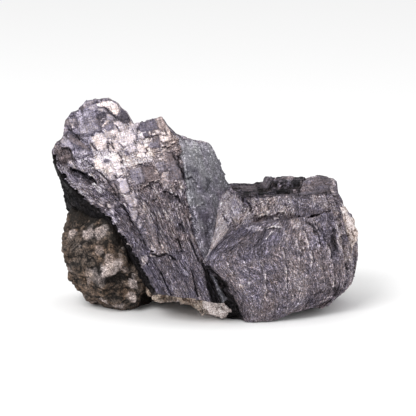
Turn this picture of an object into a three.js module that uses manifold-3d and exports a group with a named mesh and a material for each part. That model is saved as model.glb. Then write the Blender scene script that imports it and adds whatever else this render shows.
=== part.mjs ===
// A galena specimen on its matrix, in millimetres with +Z up.
//
// The galena is one grown-together mass of three blocks: a tall cleaved crystal that leans to the left and
// fans out upwards, a level shelf to its right, and a rounded bulge under the shelf. Their faces are broken
// into cleavage steps. The matrix is one rough body: a rounded lobe under the lean of the crystal, a seam
// below it, a slab across the back and a small patch on the right end.
// The specimen rests on small flats at z = 0, and the origin is at the middle of its footprint box.

import * as THREE from 'three';
import { mergeVertices } from 'three/addons/utils/BufferGeometryUtils.js';
import Module from 'manifold-3d';

const wasm = await Module();
wasm.setup();

// ---- driving dimensions, millimetres -------------------------------------------------------------------

const CLEARANCE = 0.4;        // the matrix keeps this far from the galena that it holds
const RISER = 0.3;            // width of the steep strip between two neighbouring cleavage steps
const CROWN_REACH = 0.3;      // share of a block's height over which its uneven top edge is taken up
const FLOOR_SLAB = 40;        // thickness of the body that cuts everything off flat at z = 0
const CENTRE = [0.185, 3.946];  // middle of the footprint before the specimen is centred on its origin

// A block hangs on four corner rails, listed from its top to its bottom. "rows" run down the rails,
// "columns" from left to right and "layers" from front to back, all as shares of the whole from 0 to 1.
// "steps" raise (or sink) a range of tiles on a face by some millimetres, "tilt" leans each tile like a louvre,
// "stagger" shifts the rows from column to column, "swell" rounds a face out and "belly" sags the lower edge.

const crystal = {
  rails: {
    frontLeft: [[-67, 8, 76.5], [-60, 0, 58], [-54.5, -4, 49.5], [-37, -12, 38.5], [-27, -19, 25], [-19, -25, 13.5]],
    frontRight: [[-14, 1, 88], [-10, -6.5, 71], [-8, -11, 59], [-6, -16, 46], [-2.5, -21.5, 32], [6.5, -31.5, 10.5]],
    backRight: [[-0.5, 15, 76], [4, 15, 64], [9, 15, 51.5], [12.5, 15, 39.5], [14.5, 14, 25], [17, 14, 6]],
    backLeft: [[-61.5, 31, 59.5], [-59, 24, 44], [-57.5, 22, 37.5], [-41.5, 18, 26], [-31.5, 14, 12.5], [-22, 11, 2.5]],
  },
  rows: [0, 0.1, 0.16, 0.215, 0.27, 0.33, 0.4, 0.48, 0.58, 0.72, 0.86, 1],
  columns: [0, 0.09, 0.17, 0.25, 0.33, 0.39, 0.46, 0.54, 0.62, 0.7, 0.8, 0.9, 1],
  layers: [0, 0.22, 0.48, 0.75, 1],
  // Height of the broken top edge: how far down the rails the block starts, by share of its width.
  crown: [
    [0, 0.125], [0.09, 0.095], [0.17, 0.045], [0.25, 0.008], [0.33, -0.005], [0.39, -0.03], [0.54, -0.03],
    [0.6, -0.005], [0.625, 0.03], [0.655, 0.035], [0.7, 0.095], [0.9, 0.098], [0.93, 0.15], [1, 0.195],
  ],
  swell: { front: 1.5, back: 3 },
  belly: [0, 0, 0],
  stagger: 0.016,
  tilt: 0.35,
  steps: {
    front: [
      { rows: [2, 4], columns: [4, 8], rise: 1.6 },      // bright stepped terrace
      { rows: [3, 4], columns: [5, 7], rise: 0.9 },
      { rows: [1, 2], columns: [8, 10], rise: 1.0 },     // blocks below the right part of the top edge
      { rows: [1, 1], columns: [9, 10], rise: -1.4 },
      { rows: [0, 0], columns: [5, 7], rise: -0.8 },
      { rows: [3, 4], columns: [1, 2], rise: -4.5 },     // dark hollow near the left edge
      { rows: [0, 2], columns: [0, 0], rise: -2 },
      { rows: [5, 10], columns: [0, 3], rise: -2.2 },    // long striated slab along the lower left
      { rows: [5, 8], columns: [4, 4], rise: -4.2 },     // groove between the slab and the middle
      { rows: [5, 6], columns: [5, 5], rise: -0.8 },
      { rows: [5, 6], columns: [8, 10], rise: 1.2 },
      { rows: [6, 7], columns: [6, 7], rise: -0.9 },
      { rows: [7, 7], columns: [11, 11], rise: -1.8 },
      { rows: [9, 10], columns: [9, 11], rise: -1.3 },
      { rows: [10, 10], columns: [0, 5], rise: -1.2 },
    ],
    left: [
      { rows: [5, 5], layers: [0, 1], rise: 1 },
      { rows: [7, 7], layers: [0, 2], rise: -1.4 },
      { rows: [9, 9], layers: [0, 1], rise: -1 },
    ],
    right: [
      { rows: [2, 3], layers: [2, 3], rise: 0.6 },
      { rows: [8, 10], layers: [0, 1], rise: -0.8 },
    ],
    top: [
      { columns: [4, 7], layers: [1, 2], rise: -1.5 },
      { columns: [9, 10], layers: [0, 1], rise: 1 },
    ],
    back: [
      { rows: [0, 4], columns: [0, 5], rise: 1.5 },
      { rows: [2, 6], columns: [8, 11], rise: -1.5 },
    ],
  },
};

const shelf = {
  rails: {
    frontLeft: [[14.5, -6, 47], [14.5, -10, 40.5], [-0.5, -26, 25.5]],
    frontRight: [[52.5, -6, 49], [53.5, -10, 41], [54, -14, 22.5]],
    backRight: [[53, 22, 48], [55, 24, 37.5], [56.5, 26, 16]],
    backLeft: [[9.5, 17, 48], [7, 12, 40], [4, 8, 20]],
  },
  rows: [0, 0.12, 0.5, 1],
  columns: [0, 0.14, 0.27, 0.38, 0.5, 0.62, 0.73, 0.86, 1],
  layers: [0, 0.18, 0.34, 0.55, 0.78, 1],
  crown: [[0, 0], [0.9, 0], [1, 0.06]],
  swell: { front: 0.8, right: 1.5, back: 2 },
  belly: [0, 0, 0],
  stagger: 0.02,
  tilt: 0.5,
  steps: {
    front: [
      { rows: [0, 0], columns: [1, 4], rise: -1.2 },     // thin shadowed layer under the top
      { rows: [0, 0], columns: [6, 7], rise: 0.6 },
    ],
    top: [
      { columns: [0, 4], layers: [1, 1], rise: -1.2 },
      { columns: [3, 6], layers: [2, 2], rise: 1.2 },    // the top climbs backwards in thin layers
      { columns: [3, 6], layers: [3, 4], rise: 2.4 },
      { columns: [2, 2], layers: [3, 4], rise: 0.8 },
      { columns: [0, 0], layers: [3, 4], rise: -1 },
    ],
    left: [
      { rows: [1, 1], layers: [2, 3], rise: 0.7 },
    ],
    right: [
      { rows: [0, 1], layers: [1, 2], rise: -1 },
    ],
    back: [
      { rows: [0, 1], columns: [2, 4], rise: 1.5 },
    ],
  },
};

const bulge = {
  rails: {
    frontLeft: [[11.5, -20, 37.5], [0, -27, 26], [6, -28, 18], [12, -26, 9], [16, -20, 1]],
    frontRight: [[52.5, -10, 44.5], [55, -14, 33.5], [57, -12, 22], [55.5, -8, 12], [47, -6, 4]],
    backRight: [[60, 14, 35.5], [62, 14, 26], [62, 16, 15.5], [59, 18, 7], [51, 20, 0]],
    backLeft: [[8, 6, 37.5], [8, 8, 26.5], [9.5, 8, 15], [11, 8, 7.5], [13.5, 10, 1]],
  },
  rows: [0, 0.1, 0.22, 0.34, 0.47, 0.6, 0.74, 0.88, 1],
  columns: [0, 0.12, 0.25, 0.38, 0.5, 0.62, 0.75, 0.88, 1],
  layers: [0, 0.35, 0.7, 1],
  crown: [[0, 0], [0.6, 0.03], [0.75, 0.05], [1, 0]],
  swell: { front: 4, right: 1, bottom: 2, back: 2 },
  belly: [0, -4, -3],
  stagger: 0.03,
  tilt: 0.3,
  steps: {
    front: [
      { rows: [0, 2], columns: [0, 2], rise: -0.9 },     // smooth facet beside the valley
      { rows: [0, 0], columns: [4, 6], rise: 0.9 },
      { rows: [2, 5], columns: [7, 7], rise: -0.9 },
      { rows: [1, 4], columns: [6, 6], rise: 0.6 },
      { rows: [4, 6], columns: [2, 3], rise: 0.5 },
      { rows: [5, 6], columns: [4, 5], rise: -0.6 },
    ],
    right: [
      { rows: [1, 3], layers: [1, 1], rise: -0.8 },
      { rows: [5, 6], layers: [0, 1], rise: 0.6 },
    ],
    top: [
      { columns: [2, 5], layers: [0, 0], rise: -0.8 },
    ],
    left: [
      { rows: [3, 5], layers: [0, 1], rise: -0.8 },
    ],
  },
};

// The matrix pieces that are drawn out along a line are blocks too, with rough, uneven faces.

const seam = {
  rails: {
    frontLeft: [[-18.5, -17, 12], [-18.5, -10, 8]],
    frontRight: [[7, -23, 8.5], [9, -17, 0]],
    backRight: [[12, 6, 8], [13, 6, 0]],
    backLeft: [[-20, 14, 12], [-20, 14, 5]],
  },
  rows: [0, 0.5, 1],
  columns: [0, 0.2, 0.4, 0.55, 0.75, 1],
  layers: [0, 0.5, 1],
  crown: [[0, 0], [1, 0]],
  swell: { front: 1.5, bottom: 1 },
  belly: [0, 0, 0],
  stagger: 0.08,
  tilt: 0.6,
  steps: {
    front: [
      { rows: [0, 0], columns: [3, 4], rise: 0.8 },
      { rows: [1, 1], columns: [1, 1], rise: -1 },
    ],
    bottom: [
      { columns: [0, 0], layers: [0, 1], rise: -1.5 },
      { columns: [3, 3], layers: [0, 1], rise: -1.2 },
    ],
  },
};

const backSlab = {
  rails: {
    frontLeft: [[-40, 8, 42], [-44, 10, 22], [-42, 10, 0]],
    frontRight: [[55, 10, 37], [52, 12, 20], [38, 12, 0]],
    backRight: [[56, 26, 33], [50, 31, 18], [36, 27, 0]],
    backLeft: [[-32, 27, 36], [-38, 30, 20], [-36, 22, 0]],
  },
  rows: [0, 0.2, 0.45, 0.7, 1],
  columns: [0, 0.12, 0.3, 0.44, 0.62, 0.74, 0.9, 1],
  layers: [0, 0.6, 1],
  crown: [[0, 0.1], [0.15, -0.05], [0.35, 0.08], [0.5, 0.2], [0.65, 0.02], [0.85, 0.06], [1, 0]],
  swell: { back: 6, bottom: 1 },
  belly: [0, 0, 0],
  stagger: 0.07,
  tilt: 0.5,
  steps: {
    back: [
      { rows: [0, 1], columns: [0, 2], rise: 1.6 },
      { rows: [1, 2], columns: [3, 3], rise: -2.4 },
      { rows: [3, 3], columns: [0, 6], rise: -1.5 },
      { rows: [0, 1], columns: [5, 6], rise: 1.2 },
      { rows: [2, 2], columns: [4, 5], rise: 1.6 },
    ],
    top: [
      { columns: [2, 3], layers: [1, 1], rise: -2.5 },
      { columns: [5, 5], layers: [1, 1], rise: 1.5 },
    ],
    bottom: [
      { columns: [1, 5], layers: [0, 1], rise: -2.5 },
    ],
  },
};

// A lump is a ball cut to flat facets, then dotted with rounded quartz blebs.
// A facet is a direction and the distance at which it cuts; a bleb is a direction, a height and a width.

const lobe = {
  centre: [-40, 6, 19],
  detail: 7,
  radius: 26,
  facets: [
    { towards: [-1, -0.25, 0.1], at: 17 },
    { towards: [-0.75, -0.5, 0.75], at: 20 },
    { towards: [-0.35, -1, 0.35], at: 19 },
    { towards: [0.35, -1, -0.15], at: 18 },
    { towards: [0.75, -0.8, 0.3], at: 18.5 },
    { towards: [-0.7, -0.9, -0.45], at: 17.5 },
    { towards: [-0.9, -0.2, -0.75], at: 16.5 },
    { towards: [-0.35, -0.55, -1], at: 17.5 },
    { towards: [0.3, -0.8, -0.95], at: 20 },
    { towards: [0.9, -0.4, -0.5], at: 19.5 },
    { towards: [1, 0.1, 0.1], at: 19.5 },
    { towards: [-0.2, 1, 0.1], at: 20 },
    { towards: [-0.8, 0.8, 0.3], at: 19.5 },
    { towards: [0.1, 0.1, 1], at: 24 },
    { towards: [-0.3, -0.6, 1], at: 24 },
  ],
  blebs: [
    { towards: [-0.75, -0.7, 0.75], rise: 1.6, width: 0.2 },
    { towards: [0.3, -1, 0.1], rise: 1.8, width: 0.24 },
    { towards: [0.85, -0.9, -0.55], rise: 1.6, width: 0.22 },
    { towards: [-0.35, -1, -0.4], rise: 1.0, width: 0.3 },
    { towards: [-1, -0.5, -0.1], rise: 1.0, width: 0.25 },
    { towards: [0.1, -1, -0.35], rise: -2.0, width: 0.16 },
    { towards: [-0.3, -0.85, 0.15], rise: -1.4, width: 0.18 },
    { towards: [0.55, -0.8, 0.62], rise: -1.2, width: 0.2 },
  ],
};

const endPatch = {
  centre: [55, 8, 33],
  detail: 4,
  radius: 18,
  facets: [
    { towards: [1, -0.3, 0.6], at: 6.5 },
    { towards: [1, 0, -0.3], at: 6 },
    { towards: [0.5, -1, 0.1], at: 12 },
    { towards: [0.1, -0.3, 1], at: 12.5 },
    { towards: [-0.2, 0.4, 1], at: 9 },
    { towards: [0.2, 0.2, -1], at: 10 },
    { towards: [-1, 0, 0], at: 8 },
    { towards: [0.4, 1, 0], at: 16 },
  ],
  blebs: [
    { towards: [1, -0.8, 0.4], rise: 1.1, width: 0.25 },
    { towards: [1, -0.5, -0.3], rise: 1, width: 0.25 },
    { towards: [0.8, 0.4, 0.5], rise: 1, width: 0.3 },
  ],
};

// ---- small helpers ---------------------------------------------------------------------------------------

const clamp = (value, low, high) => Math.min(Math.max(value, low), high);

/** Value at `share` along a list of [share, value] corners. */
function along(profile, share) {
  const next = profile.findIndex(([corner]) => corner >= share);
  if (next <= 0) return profile[next === 0 ? 0 : profile.length - 1][1];
  const [from, low] = profile[next - 1];
  const [to, high] = profile[next];
  return low + (high - low) * (share - from) / (to - from);
}

/** Point at share `a` down a rail; past either end the rail goes straight on. */
function railPoint(rail, a) {
  const spans = rail.length - 1;
  const span = clamp(Math.floor(a * spans), 0, spans - 1);
  const start = new THREE.Vector3(...rail[span]);
  const end = new THREE.Vector3(...rail[span + 1]);
  return start.lerp(end, a * spans - span);
}

/** Point of a block at shares a (down), b (left to right) and c (front to back). */
function blockPoint(block, a, b, c) {
  const { frontLeft, frontRight, backRight, backLeft } = block.rails;
  const front = railPoint(frontLeft, a).lerp(railPoint(frontRight, a), b);
  const back = railPoint(backLeft, a).lerp(railPoint(backRight, a), b);
  return front.lerp(back, c);
}

/** Share down the rails once the broken top edge is allowed for. */
function belowCrown(block, a, b) {
  const start = along(block.crown, b);
  return a < CROWN_REACH ? start + (CROWN_REACH - start) * a / CROWN_REACH : a;
}

/** Lines of a face's grid: each tile has a line at its start and one at its end, a riser apart. */
function tileLines(edges, length) {
  const half = RISER / length / 2;
  const lines = [];
  for (let tile = 0; tile < edges.length - 1; tile += 1) {
    lines.push(edges[tile] + (tile > 0 ? half : 0));
    lines.push(edges[tile + 1] - (tile < edges.length - 2 ? half : 0));
  }
  return lines;
}

/** Outward unit normals of a block's six faces, each taken at the middle of its face. */
function faceNormals(block) {
  const side = (a, b, c) => blockPoint(block, a, b, c);
  const across = (from, to) => to.clone().sub(from);
  const normal = (u, v) => new THREE.Vector3().crossVectors(u, v).normalize();
  const faceAlong = (c) => [
    across(side(0.5, 0, c), side(0.5, 1, c)), across(side(1, 0.5, c), side(0, 0.5, c)),
  ];
  const faceAcross = (b) => [
    across(side(0.5, b, 0), side(0.5, b, 1)), across(side(1, b, 0.5), side(0, b, 0.5)),
  ];
  const faceLevel = (a) => [
    across(side(a, 0, 0.5), side(a, 1, 0.5)), across(side(a, 0.5, 0), side(a, 0.5, 1)),
  ];
  return {
    front: normal(...faceAlong(0)),
    back: normal(...faceAlong(1)).negate(),
    right: normal(...faceAcross(1)),
    left: normal(...faceAcross(0)).negate(),
    top: normal(...faceLevel(0)),
    bottom: normal(...faceLevel(1)).negate(),
  };
}

/** Millimetres by which the steps listed for one face raise one of its tiles. */
function tileRise(steps = [], tile) {
  const inside = (step, key) => !step[key] || (tile[key] >= step[key][0] && tile[key] <= step[key][1]);
  return steps
    .filter((step) => inside(step, 'rows') && inside(step, 'columns') && inside(step, 'layers'))
    .reduce((sum, step) => sum + step.rise, 0);
}

/** Small repeating unevenness, so that no two neighbouring tiles are level. */
const unevenness = (first, second) => ((3 * first + 5 * second + first * second) % 7) / 7 - 0.4;

function solidFrom(geometry) {
  geometry.deleteAttribute('normal');
  geometry.deleteAttribute('uv');
  const merged = mergeVertices(geometry);
  return new wasm.Manifold(new wasm.Mesh({
    numProp: 3,
    vertProperties: new Float32Array(merged.attributes.position.array),
    triVerts: new Uint32Array(merged.index.array),
  }));
}

// ---- blocks, lumps and the floor -------------------------------------------------------------------------

/** Tiles that meet at a grid line: its own, and if `both` is set the one across the riser as well. */
function tilesAt(line, tiles, both) {
  const own = line >> 1;
  const across = own + (line % 2 === 0 ? -1 : 1);
  return both && across >= 0 && across < tiles ? [own, across] : [own];
}

/** A block with its cleavage steps; `grow` pushes every face out, which makes the cutter for its socket. */
function blockSolid(block, grow = 0) {
  const { rows, columns, layers, swell, tilt } = block;
  const length = (from, to) => blockPoint(block, ...from).distanceTo(blockPoint(block, ...to));
  const aLines = tileLines(rows, length([0, 0.5, 0], [1, 0.5, 0]));
  const bLines = tileLines(columns, length([0.5, 0, 0], [0.5, 1, 0]));
  const cLines = tileLines(layers, length([0.5, 0.5, 0], [0.5, 0.5, 1]));
  const normals = faceNormals(block);
  const geometry = new THREE.BoxGeometry(1, 1, 1, bLines.length - 1, aLines.length - 1, cLines.length - 1);
  const position = geometry.attributes.position;
  const rounded = (u, v) => 16 * u * (1 - u) * v * (1 - v);

  for (let vertex = 0; vertex < position.count; vertex += 1) {
    const bLine = Math.round((position.getX(vertex) + 0.5) * (bLines.length - 1));
    const aLine = Math.round((0.5 - position.getY(vertex)) * (aLines.length - 1));
    const cLine = Math.round((0.5 - position.getZ(vertex)) * (cLines.length - 1));
    const b = bLines[bLine];
    const c = cLines[cLine];
    const level = aLines[aLine];
    const tiles = {
      rows: tilesAt(aLine, rows.length - 1, grow > 0),
      columns: tilesAt(bLine, columns.length - 1, grow > 0),
      layers: tilesAt(cLine, layers.length - 1, grow > 0),
    };
    const lean = tilt * (bLine % 2 === 0 || grow > 0 ? 1 : -1);
    const rise = (face, first, second, u, v) => grow + (swell[face] ?? 0) * rounded(u, v)
      + Math.max(...tiles[first].flatMap((i) => tiles[second].map((j) => (
        tileRise(block.steps[face], { [first]: i, [second]: j }) + unevenness(i, j)
      ))));
    const shift = block.stagger * Math.sin(Math.PI * level) * ((bLine >> 1) % 3 - 1);
    const point = blockPoint(block, belowCrown(block, level + shift, b), b, c);
    point.addScaledVector(new THREE.Vector3(...block.belly), 4 * b * (1 - b) * level ** 2 * (1 - c));
    const push = (face, distance) => point.addScaledVector(normals[face], distance);
    if (c === 0) push('front', rise('front', 'rows', 'columns', level, b) + lean);
    if (c === 1) push('back', rise('back', 'rows', 'columns', level, b) + lean);
    if (b === 0) push('left', rise('left', 'rows', 'layers', level, c));
    if (b === 1) push('right', rise('right', 'rows', 'layers', level, c));
    if (level === 0) push('top', rise('top', 'columns', 'layers', b, c));
    if (level === 1) push('bottom', rise('bottom', 'columns', 'layers', b, c));
    position.setXYZ(vertex, point.x, point.y, point.z);
  }
  return solidFrom(geometry);
}

/** A faceted lump with rounded blebs on it. */
function lumpSolid({ centre, detail, radius, facets, blebs }) {
  const geometry = new THREE.IcosahedronGeometry(1, detail);
  const position = geometry.attributes.position;
  const middle = new THREE.Vector3(...centre);
  const planes = facets.map(({ towards, at }) => ({ normal: new THREE.Vector3(...towards).normalize(), at }));
  const bumps = blebs.map((bleb) => ({ ...bleb, normal: new THREE.Vector3(...bleb.towards).normalize() }));
  const direction = new THREE.Vector3();
  for (let vertex = 0; vertex < position.count; vertex += 1) {
    direction.fromBufferAttribute(position, vertex).normalize();
    const cuts = planes.map(({ normal, at }) => at / Math.max(normal.dot(direction), 1e-6));
    let reach = Math.min(radius, ...cuts);
    for (const { normal, rise, width } of bumps) {
      reach += rise * Math.exp(-((normal.angleTo(direction) / width) ** 2));
    }
    const point = direction.clone().multiplyScalar(reach).add(middle);
    position.setXYZ(vertex, point.x, point.y, point.z);
  }
  return solidFrom(geometry);
}

/** Everything below z = 0, to be cut away. */
function belowFloor() {
  const geometry = new THREE.BoxGeometry(300, 300, FLOOR_SLAB);
  geometry.translate(0, 0, -FLOOR_SLAB / 2);
  return solidFrom(geometry);
}

function meshFrom(solid, name, material) {
  const { vertProperties, triVerts } = solid.getMesh();
  const geometry = new THREE.BufferGeometry();
  geometry.setAttribute('position', new THREE.BufferAttribute(new Float32Array(vertProperties), 3));
  geometry.setIndex(new THREE.BufferAttribute(new Uint32Array(triVerts), 1));
  geometry.translate(-CENTRE[0], -CENTRE[1], 0);
  geometry.computeVertexNormals();
  const mesh = new THREE.Mesh(geometry, material);
  mesh.name = name;
  return mesh;
}

// ---- the specimen ----------------------------------------------------------------------------------------

const galenaBlocks = [crystal, shelf, bulge];
const galenaSolid = galenaBlocks
  .map((block) => blockSolid(block))
  .reduce((sum, solid) => sum.add(solid))
  .subtract(belowFloor());
const socket = galenaBlocks
  .map((block) => blockSolid(block, CLEARANCE))
  .reduce((sum, solid) => sum.add(solid));
const matrixSolid = [lumpSolid(lobe), lumpSolid(endPatch), blockSolid(seam), blockSolid(backSlab)]
  .reduce((sum, solid) => sum.add(solid))
  .subtract(socket)
  .subtract(belowFloor());

const leadGrey = new THREE.MeshStandardMaterial({ color: 0x7c757b, roughness: 0.45, metalness: 0.7, flatShading: true });
const brownRock = new THREE.MeshStandardMaterial({ color: 0x6f6259, roughness: 0.85, metalness: 0, flatShading: true });

const specimen = new THREE.Group();
specimen.name = 'galena_specimen';
specimen.add(meshFrom(galenaSolid, 'galena', leadGrey));
specimen.add(meshFrom(matrixSolid, 'matrix', brownRock));

export default specimen;
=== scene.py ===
"""A galena specimen on its matrix: the visible surfaces, laid out as a Blender add-on.

Metres, +Z up. The blocks and lumps are listed and worked out in millimetres, until MM scales them.
"""
import math

import bpy
import numpy as np
from bpy.props import FloatProperty, FloatVectorProperty, PointerProperty
from bpy.types import Operator, Panel, PropertyGroup
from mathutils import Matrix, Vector


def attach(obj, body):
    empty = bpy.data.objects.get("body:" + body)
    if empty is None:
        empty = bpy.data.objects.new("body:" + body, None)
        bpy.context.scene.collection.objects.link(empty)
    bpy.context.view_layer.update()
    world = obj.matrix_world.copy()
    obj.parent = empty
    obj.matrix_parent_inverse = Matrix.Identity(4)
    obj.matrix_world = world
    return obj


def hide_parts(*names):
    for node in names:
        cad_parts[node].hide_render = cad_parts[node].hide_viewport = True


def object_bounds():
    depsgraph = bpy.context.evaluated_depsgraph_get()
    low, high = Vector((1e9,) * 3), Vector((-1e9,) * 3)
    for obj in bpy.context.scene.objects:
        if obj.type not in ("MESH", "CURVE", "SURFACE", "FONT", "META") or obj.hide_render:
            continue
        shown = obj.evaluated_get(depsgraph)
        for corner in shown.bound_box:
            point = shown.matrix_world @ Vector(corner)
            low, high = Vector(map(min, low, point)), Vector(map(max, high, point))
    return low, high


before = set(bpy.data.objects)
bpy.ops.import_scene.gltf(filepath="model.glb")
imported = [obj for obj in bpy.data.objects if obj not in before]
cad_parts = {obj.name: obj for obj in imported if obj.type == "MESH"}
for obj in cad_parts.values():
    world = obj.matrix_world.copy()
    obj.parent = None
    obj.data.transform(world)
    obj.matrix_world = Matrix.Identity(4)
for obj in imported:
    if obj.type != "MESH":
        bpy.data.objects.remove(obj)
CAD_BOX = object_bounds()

bl_info = {
    "name": "Galena Specimen",
    "version": (1, 0, 0),
    "blender": (4, 5, 0),
    "location": "View3D > Sidebar > Galena",
    "description": "Builds a cleaved galena specimen on its matrix, with its stage",
    "category": "Object",
}

MM = 0.001
CENTRE = np.array([0.185, 3.946, 0.0])   # middle of the footprint before the specimen is centred, mm
CAD_MARGIN = 0.05 * MM                   # the surfaces stay this far inside the solids' box

CROWN_REACH = 0.3    # share of a block's height over which its broken top is taken up
CROWN_DEPTH = 0.3    # share of its depth over which the front crown turns into the back crown
EDGE_REACH = 4.0     # depth below a face to which its relief is carried round the edges, mm
CHIP_DEPTH = 1.4     # depth of the chips along a block's long edges, mm; flakes add up to half as much
CHIP_REACH = 2.4     # distance from a long edge at which the chips end, mm

# Width and height in millimetres of the bricks and ridges of a galena face, of the jogs in the edges on it,
# of the chips along a block's edges, and of the blotches of warmer tone.
LARGE_BRICK = (5.2, 6.4)
MEDIUM_BRICK = (2.4, 3.1)
SMALL_BRICK = (1.1, 1.5)
WIDE_RIDGE = (1.5, 17.0)
THIN_RIDGE = (0.75, 7.0)
DOWN_JOG = (2.1, 3.3)
ACROSS_JOG = (1.2, 2.2)
EDGE_CHIP = (3.1, 2.7)
EDGE_FLAKE = (1.3, 1.1)
WARM_BLOTCH = (4.5, 6.0)
WORN_GRAIN = 0.9     # size of the grain of worn galena, mm

# A patch's rim, painted pale where it faces the light, and the painted shadow at its foot: the depths in
# millimetres inside its edge at which each starts, is full, fades and ends. The painted light on a rim comes
# from the left and, a little more, from above.
LIT_RIM = (0, 0.2, 0.35, 0.7)
FOOT_SHADE = (-0.6, -0.3, -0.15, 0.1)
FROM_ABOVE = 0.75
FROM_LEFT = 0.66

# Sizes of the forms and blotches in broken rock, mm.
ROCK_BEND = 5.0
ROCK_CHUNK = 8.0
ROCK_LUMP = 3.4
ROCK_KNOB = 1.5
ROCK_GRAIN = 0.8
ROCK_SPECK = 1.1
QUARTZ_SPOT = 5.0
QUARTZ_GRAIN = 1.6
BRIGHT_BLOTCH = 2.2
BRIGHT_GRAIN = 0.7
RUST_BLOTCH = 4.0

FACE_SEEDS = 17      # step between the seeds of a block's faces
BALL_RADIUS = 26.0   # of the ball on which the ragged outlines of the blebs' tones are worked out, mm
BLEB_RAG = 3.0       # sizes of the noises that make them ragged, mm
BLEB_FRAY = 1.1

# ---- the blocks ------------------------------------------------------------------------------------------
# A block hangs on four corner rails, listed from top to bottom in millimetres. Shares run a: down the rails,
# b: left to right, c: front to back. "crown" lists (b, a): where the broken top lies below the rails' upper
# ends. "belly" moves the middle of the lower front. "lengths" are the nominal sizes down, across and back,
# in which the relief is measured. "spacing" is the mesh's, in the same order, as multiples of the setting.

CRYSTAL = {
    "rails": {
        "front_left": [(-67, 8, 76.5), (-60, 0, 58), (-51.5, -5.5, 48.5), (-37.5, -12.5, 39.5),
                       (-28, -19, 25.5), (-20, -25, 13)],
        "front_right": [(-14, 1, 88), (-10, -6.5, 71), (-8, -11, 59), (-6, -16, 46), (-2.5, -21.5, 32),
                        (6.5, -31.5, 10.5)],
        "back_right": [(-0.5, 15, 76), (4, 15, 64), (9, 15, 51.5), (12.5, 15, 39.5), (14.5, 14, 25),
                       (17, 14, 6)],
        "back_left": [(-61.5, 31, 59.5), (-59, 24, 44), (-57.5, 22, 37.5), (-41.5, 18, 26), (-31.5, 14, 12.5),
                      (-22, 11, 2.5)],
    },
    "crown": [(0, 0.128), (0.05, 0.114), (0.09, 0.098), (0.145, 0.085), (0.19, 0.035), (0.25, 0.008),
              (0.33, -0.005), (0.39, -0.03), (0.54, -0.03), (0.6, -0.005), (0.625, 0.03), (0.65, 0.045),
              (0.68, 0.1), (0.9, 0.1), (0.93, 0.15), (1, 0.195)],
    "back_crown": [(0, 0.14), (0.09, 0.13), (0.145, 0.1), (0.19, 0.06), (0.25, 0.03), (0.54, 0), (0.6, 0.03),
                   (0.625, 0.06), (0.68, 0.15), (0.86, 0.135), (0.93, 0.165), (1, 0.2)],
    "belly": (0, 0, 0),
    "lengths": (84, 45, 32),
    "spacing": (0.85, 0.8, 1.45),
    "seed": 3,
}

SHELF = {
    "rails": {
        "front_left": [(14.5, -6, 47), (14.5, -10, 40.5), (-0.5, -26, 25.5)],
        "front_right": [(52.2, -6, 48.6), (53.5, -10, 41), (54, -14, 22.5)],
        "back_right": [(52.2, 22, 47), (55, 24, 37.5), (56.5, 26, 16)],
        "back_left": [(9.5, 17, 48), (1, 6, 40), (-3, 2, 20)],
    },
    "crown": [(0, 0), (0.9, 0), (1, 0.06)],
    "belly": (0, 0, 0),
    "lengths": (30, 42, 28),
    "spacing": (0.8, 0.65, 0.8),
    "seed": 31,
}

BULGE = {
    "rails": {
        "front_left": [(11.5, -20, 37.5), (0, -27, 26), (5.5, -28, 18), (11, -26.5, 9), (14, -21.5, 0.5)],
        "front_right": [(52.5, -10, 44.5), (55, -14, 33.5), (57, -12, 22), (56.5, -9, 11), (49, -8, 3)],
        "back_right": [(60, 14, 35.5), (62, 14, 26), (62, 16, 15.5), (59, 18, 7), (51, 20, 0)],
        "back_left": [(8, 6, 37.5), (8, 8, 26.5), (9.5, 8, 15), (11, 8, 7.5), (13.5, 10, 1)],
    },
    "crown": [(0, 0), (0.6, 0.03), (0.75, 0.05), (1, 0)],
    "belly": (0, -4.6, -0.6),
    "lengths": (46, 46, 28),
    "spacing": (0.8, 0.7, 1.2),
    "seed": 57,
}

SEAM = {
    "rails": {
        "front_left": [(-18.5, -17, 13), (-18.5, -10, 10)],
        "front_right": [(7, -23, 8.5), (9, -17, 0.5)],
        "back_right": [(12, 6, 8), (13, 6, 0)],
        "back_left": [(-20, 14, 12), (-20, 14, 5)],
    },
    "crown": [(0, 0), (1, 0)],
    "belly": (0, -3, -1),
    "lengths": (10, 30, 26),
    "spacing": (1, 1, 1),
    "seed": 41,
}

BACK_SLAB = {
    "rails": {
        "front_left": [(-40, 8, 42), (-44, 10, 22), (-42, 10, 0)],
        "front_right": [(55, 10, 37), (52, 12, 20), (38, 12, 0)],
        "back_right": [(56, 26, 33), (50, 31, 18), (36, 27, 0)],
        "back_left": [(-32, 27, 36), (-38, 30, 20), (-36, 22, 0)],
    },
    "crown": [(0, 0.1), (0.15, -0.05), (0.35, 0.08), (0.5, 0.2), (0.65, 0.02), (0.85, 0.06), (1, 0)],
    "belly": (0, 0, 0),
    "lengths": (40, 92, 18),
    "spacing": (1.6, 1.6, 1.6),
    "seed": 61,
}

FACE_NAMES = ("front", "back", "left", "right", "top", "bottom")


# ---- the relief and tone of each face --------------------------------------------------------------------
# A place on a face is a pair (down, across): from its top to its bottom edge and from left to right. On a
# left or right face, across runs front to back. On a top or bottom face, down runs left to right, and across
# runs front to back.
# "bright" goes from -1, black, to 1, white, and carries painted light and shade as well as the galena's own
# tone; "warm" from -1, violet, to 1, brown, and below -1 to a greenish grey; "polish" from 0, broken, to 1,
# smooth.

FACE_SPAN = 1000    # a face's height or width, in the units of the outlines and lines that lie on it


def cleaved(swell=0.0, cleavage=0.5, lamella=0.5, ragged=1.2, bright=0.0, warm=0.0, polish=0.0, contrast=0.4,
            zones=(), patches=(), ledges=()):
    """A galena face: the height in millimetres of its rounded swell, of the bricks (`cleavage`) and of the
    long ridges (`lamella`), how far in millimetres the edges on it wander, its tones and their spread."""
    return {"swell": swell, "cleavage": cleavage, "lamella": lamella, "ragged": ragged, "bright": bright,
            "warm": warm, "polish": polish, "contrast": contrast, "zones": zones, "patches": patches,
            "ledges": ledges}


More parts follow.
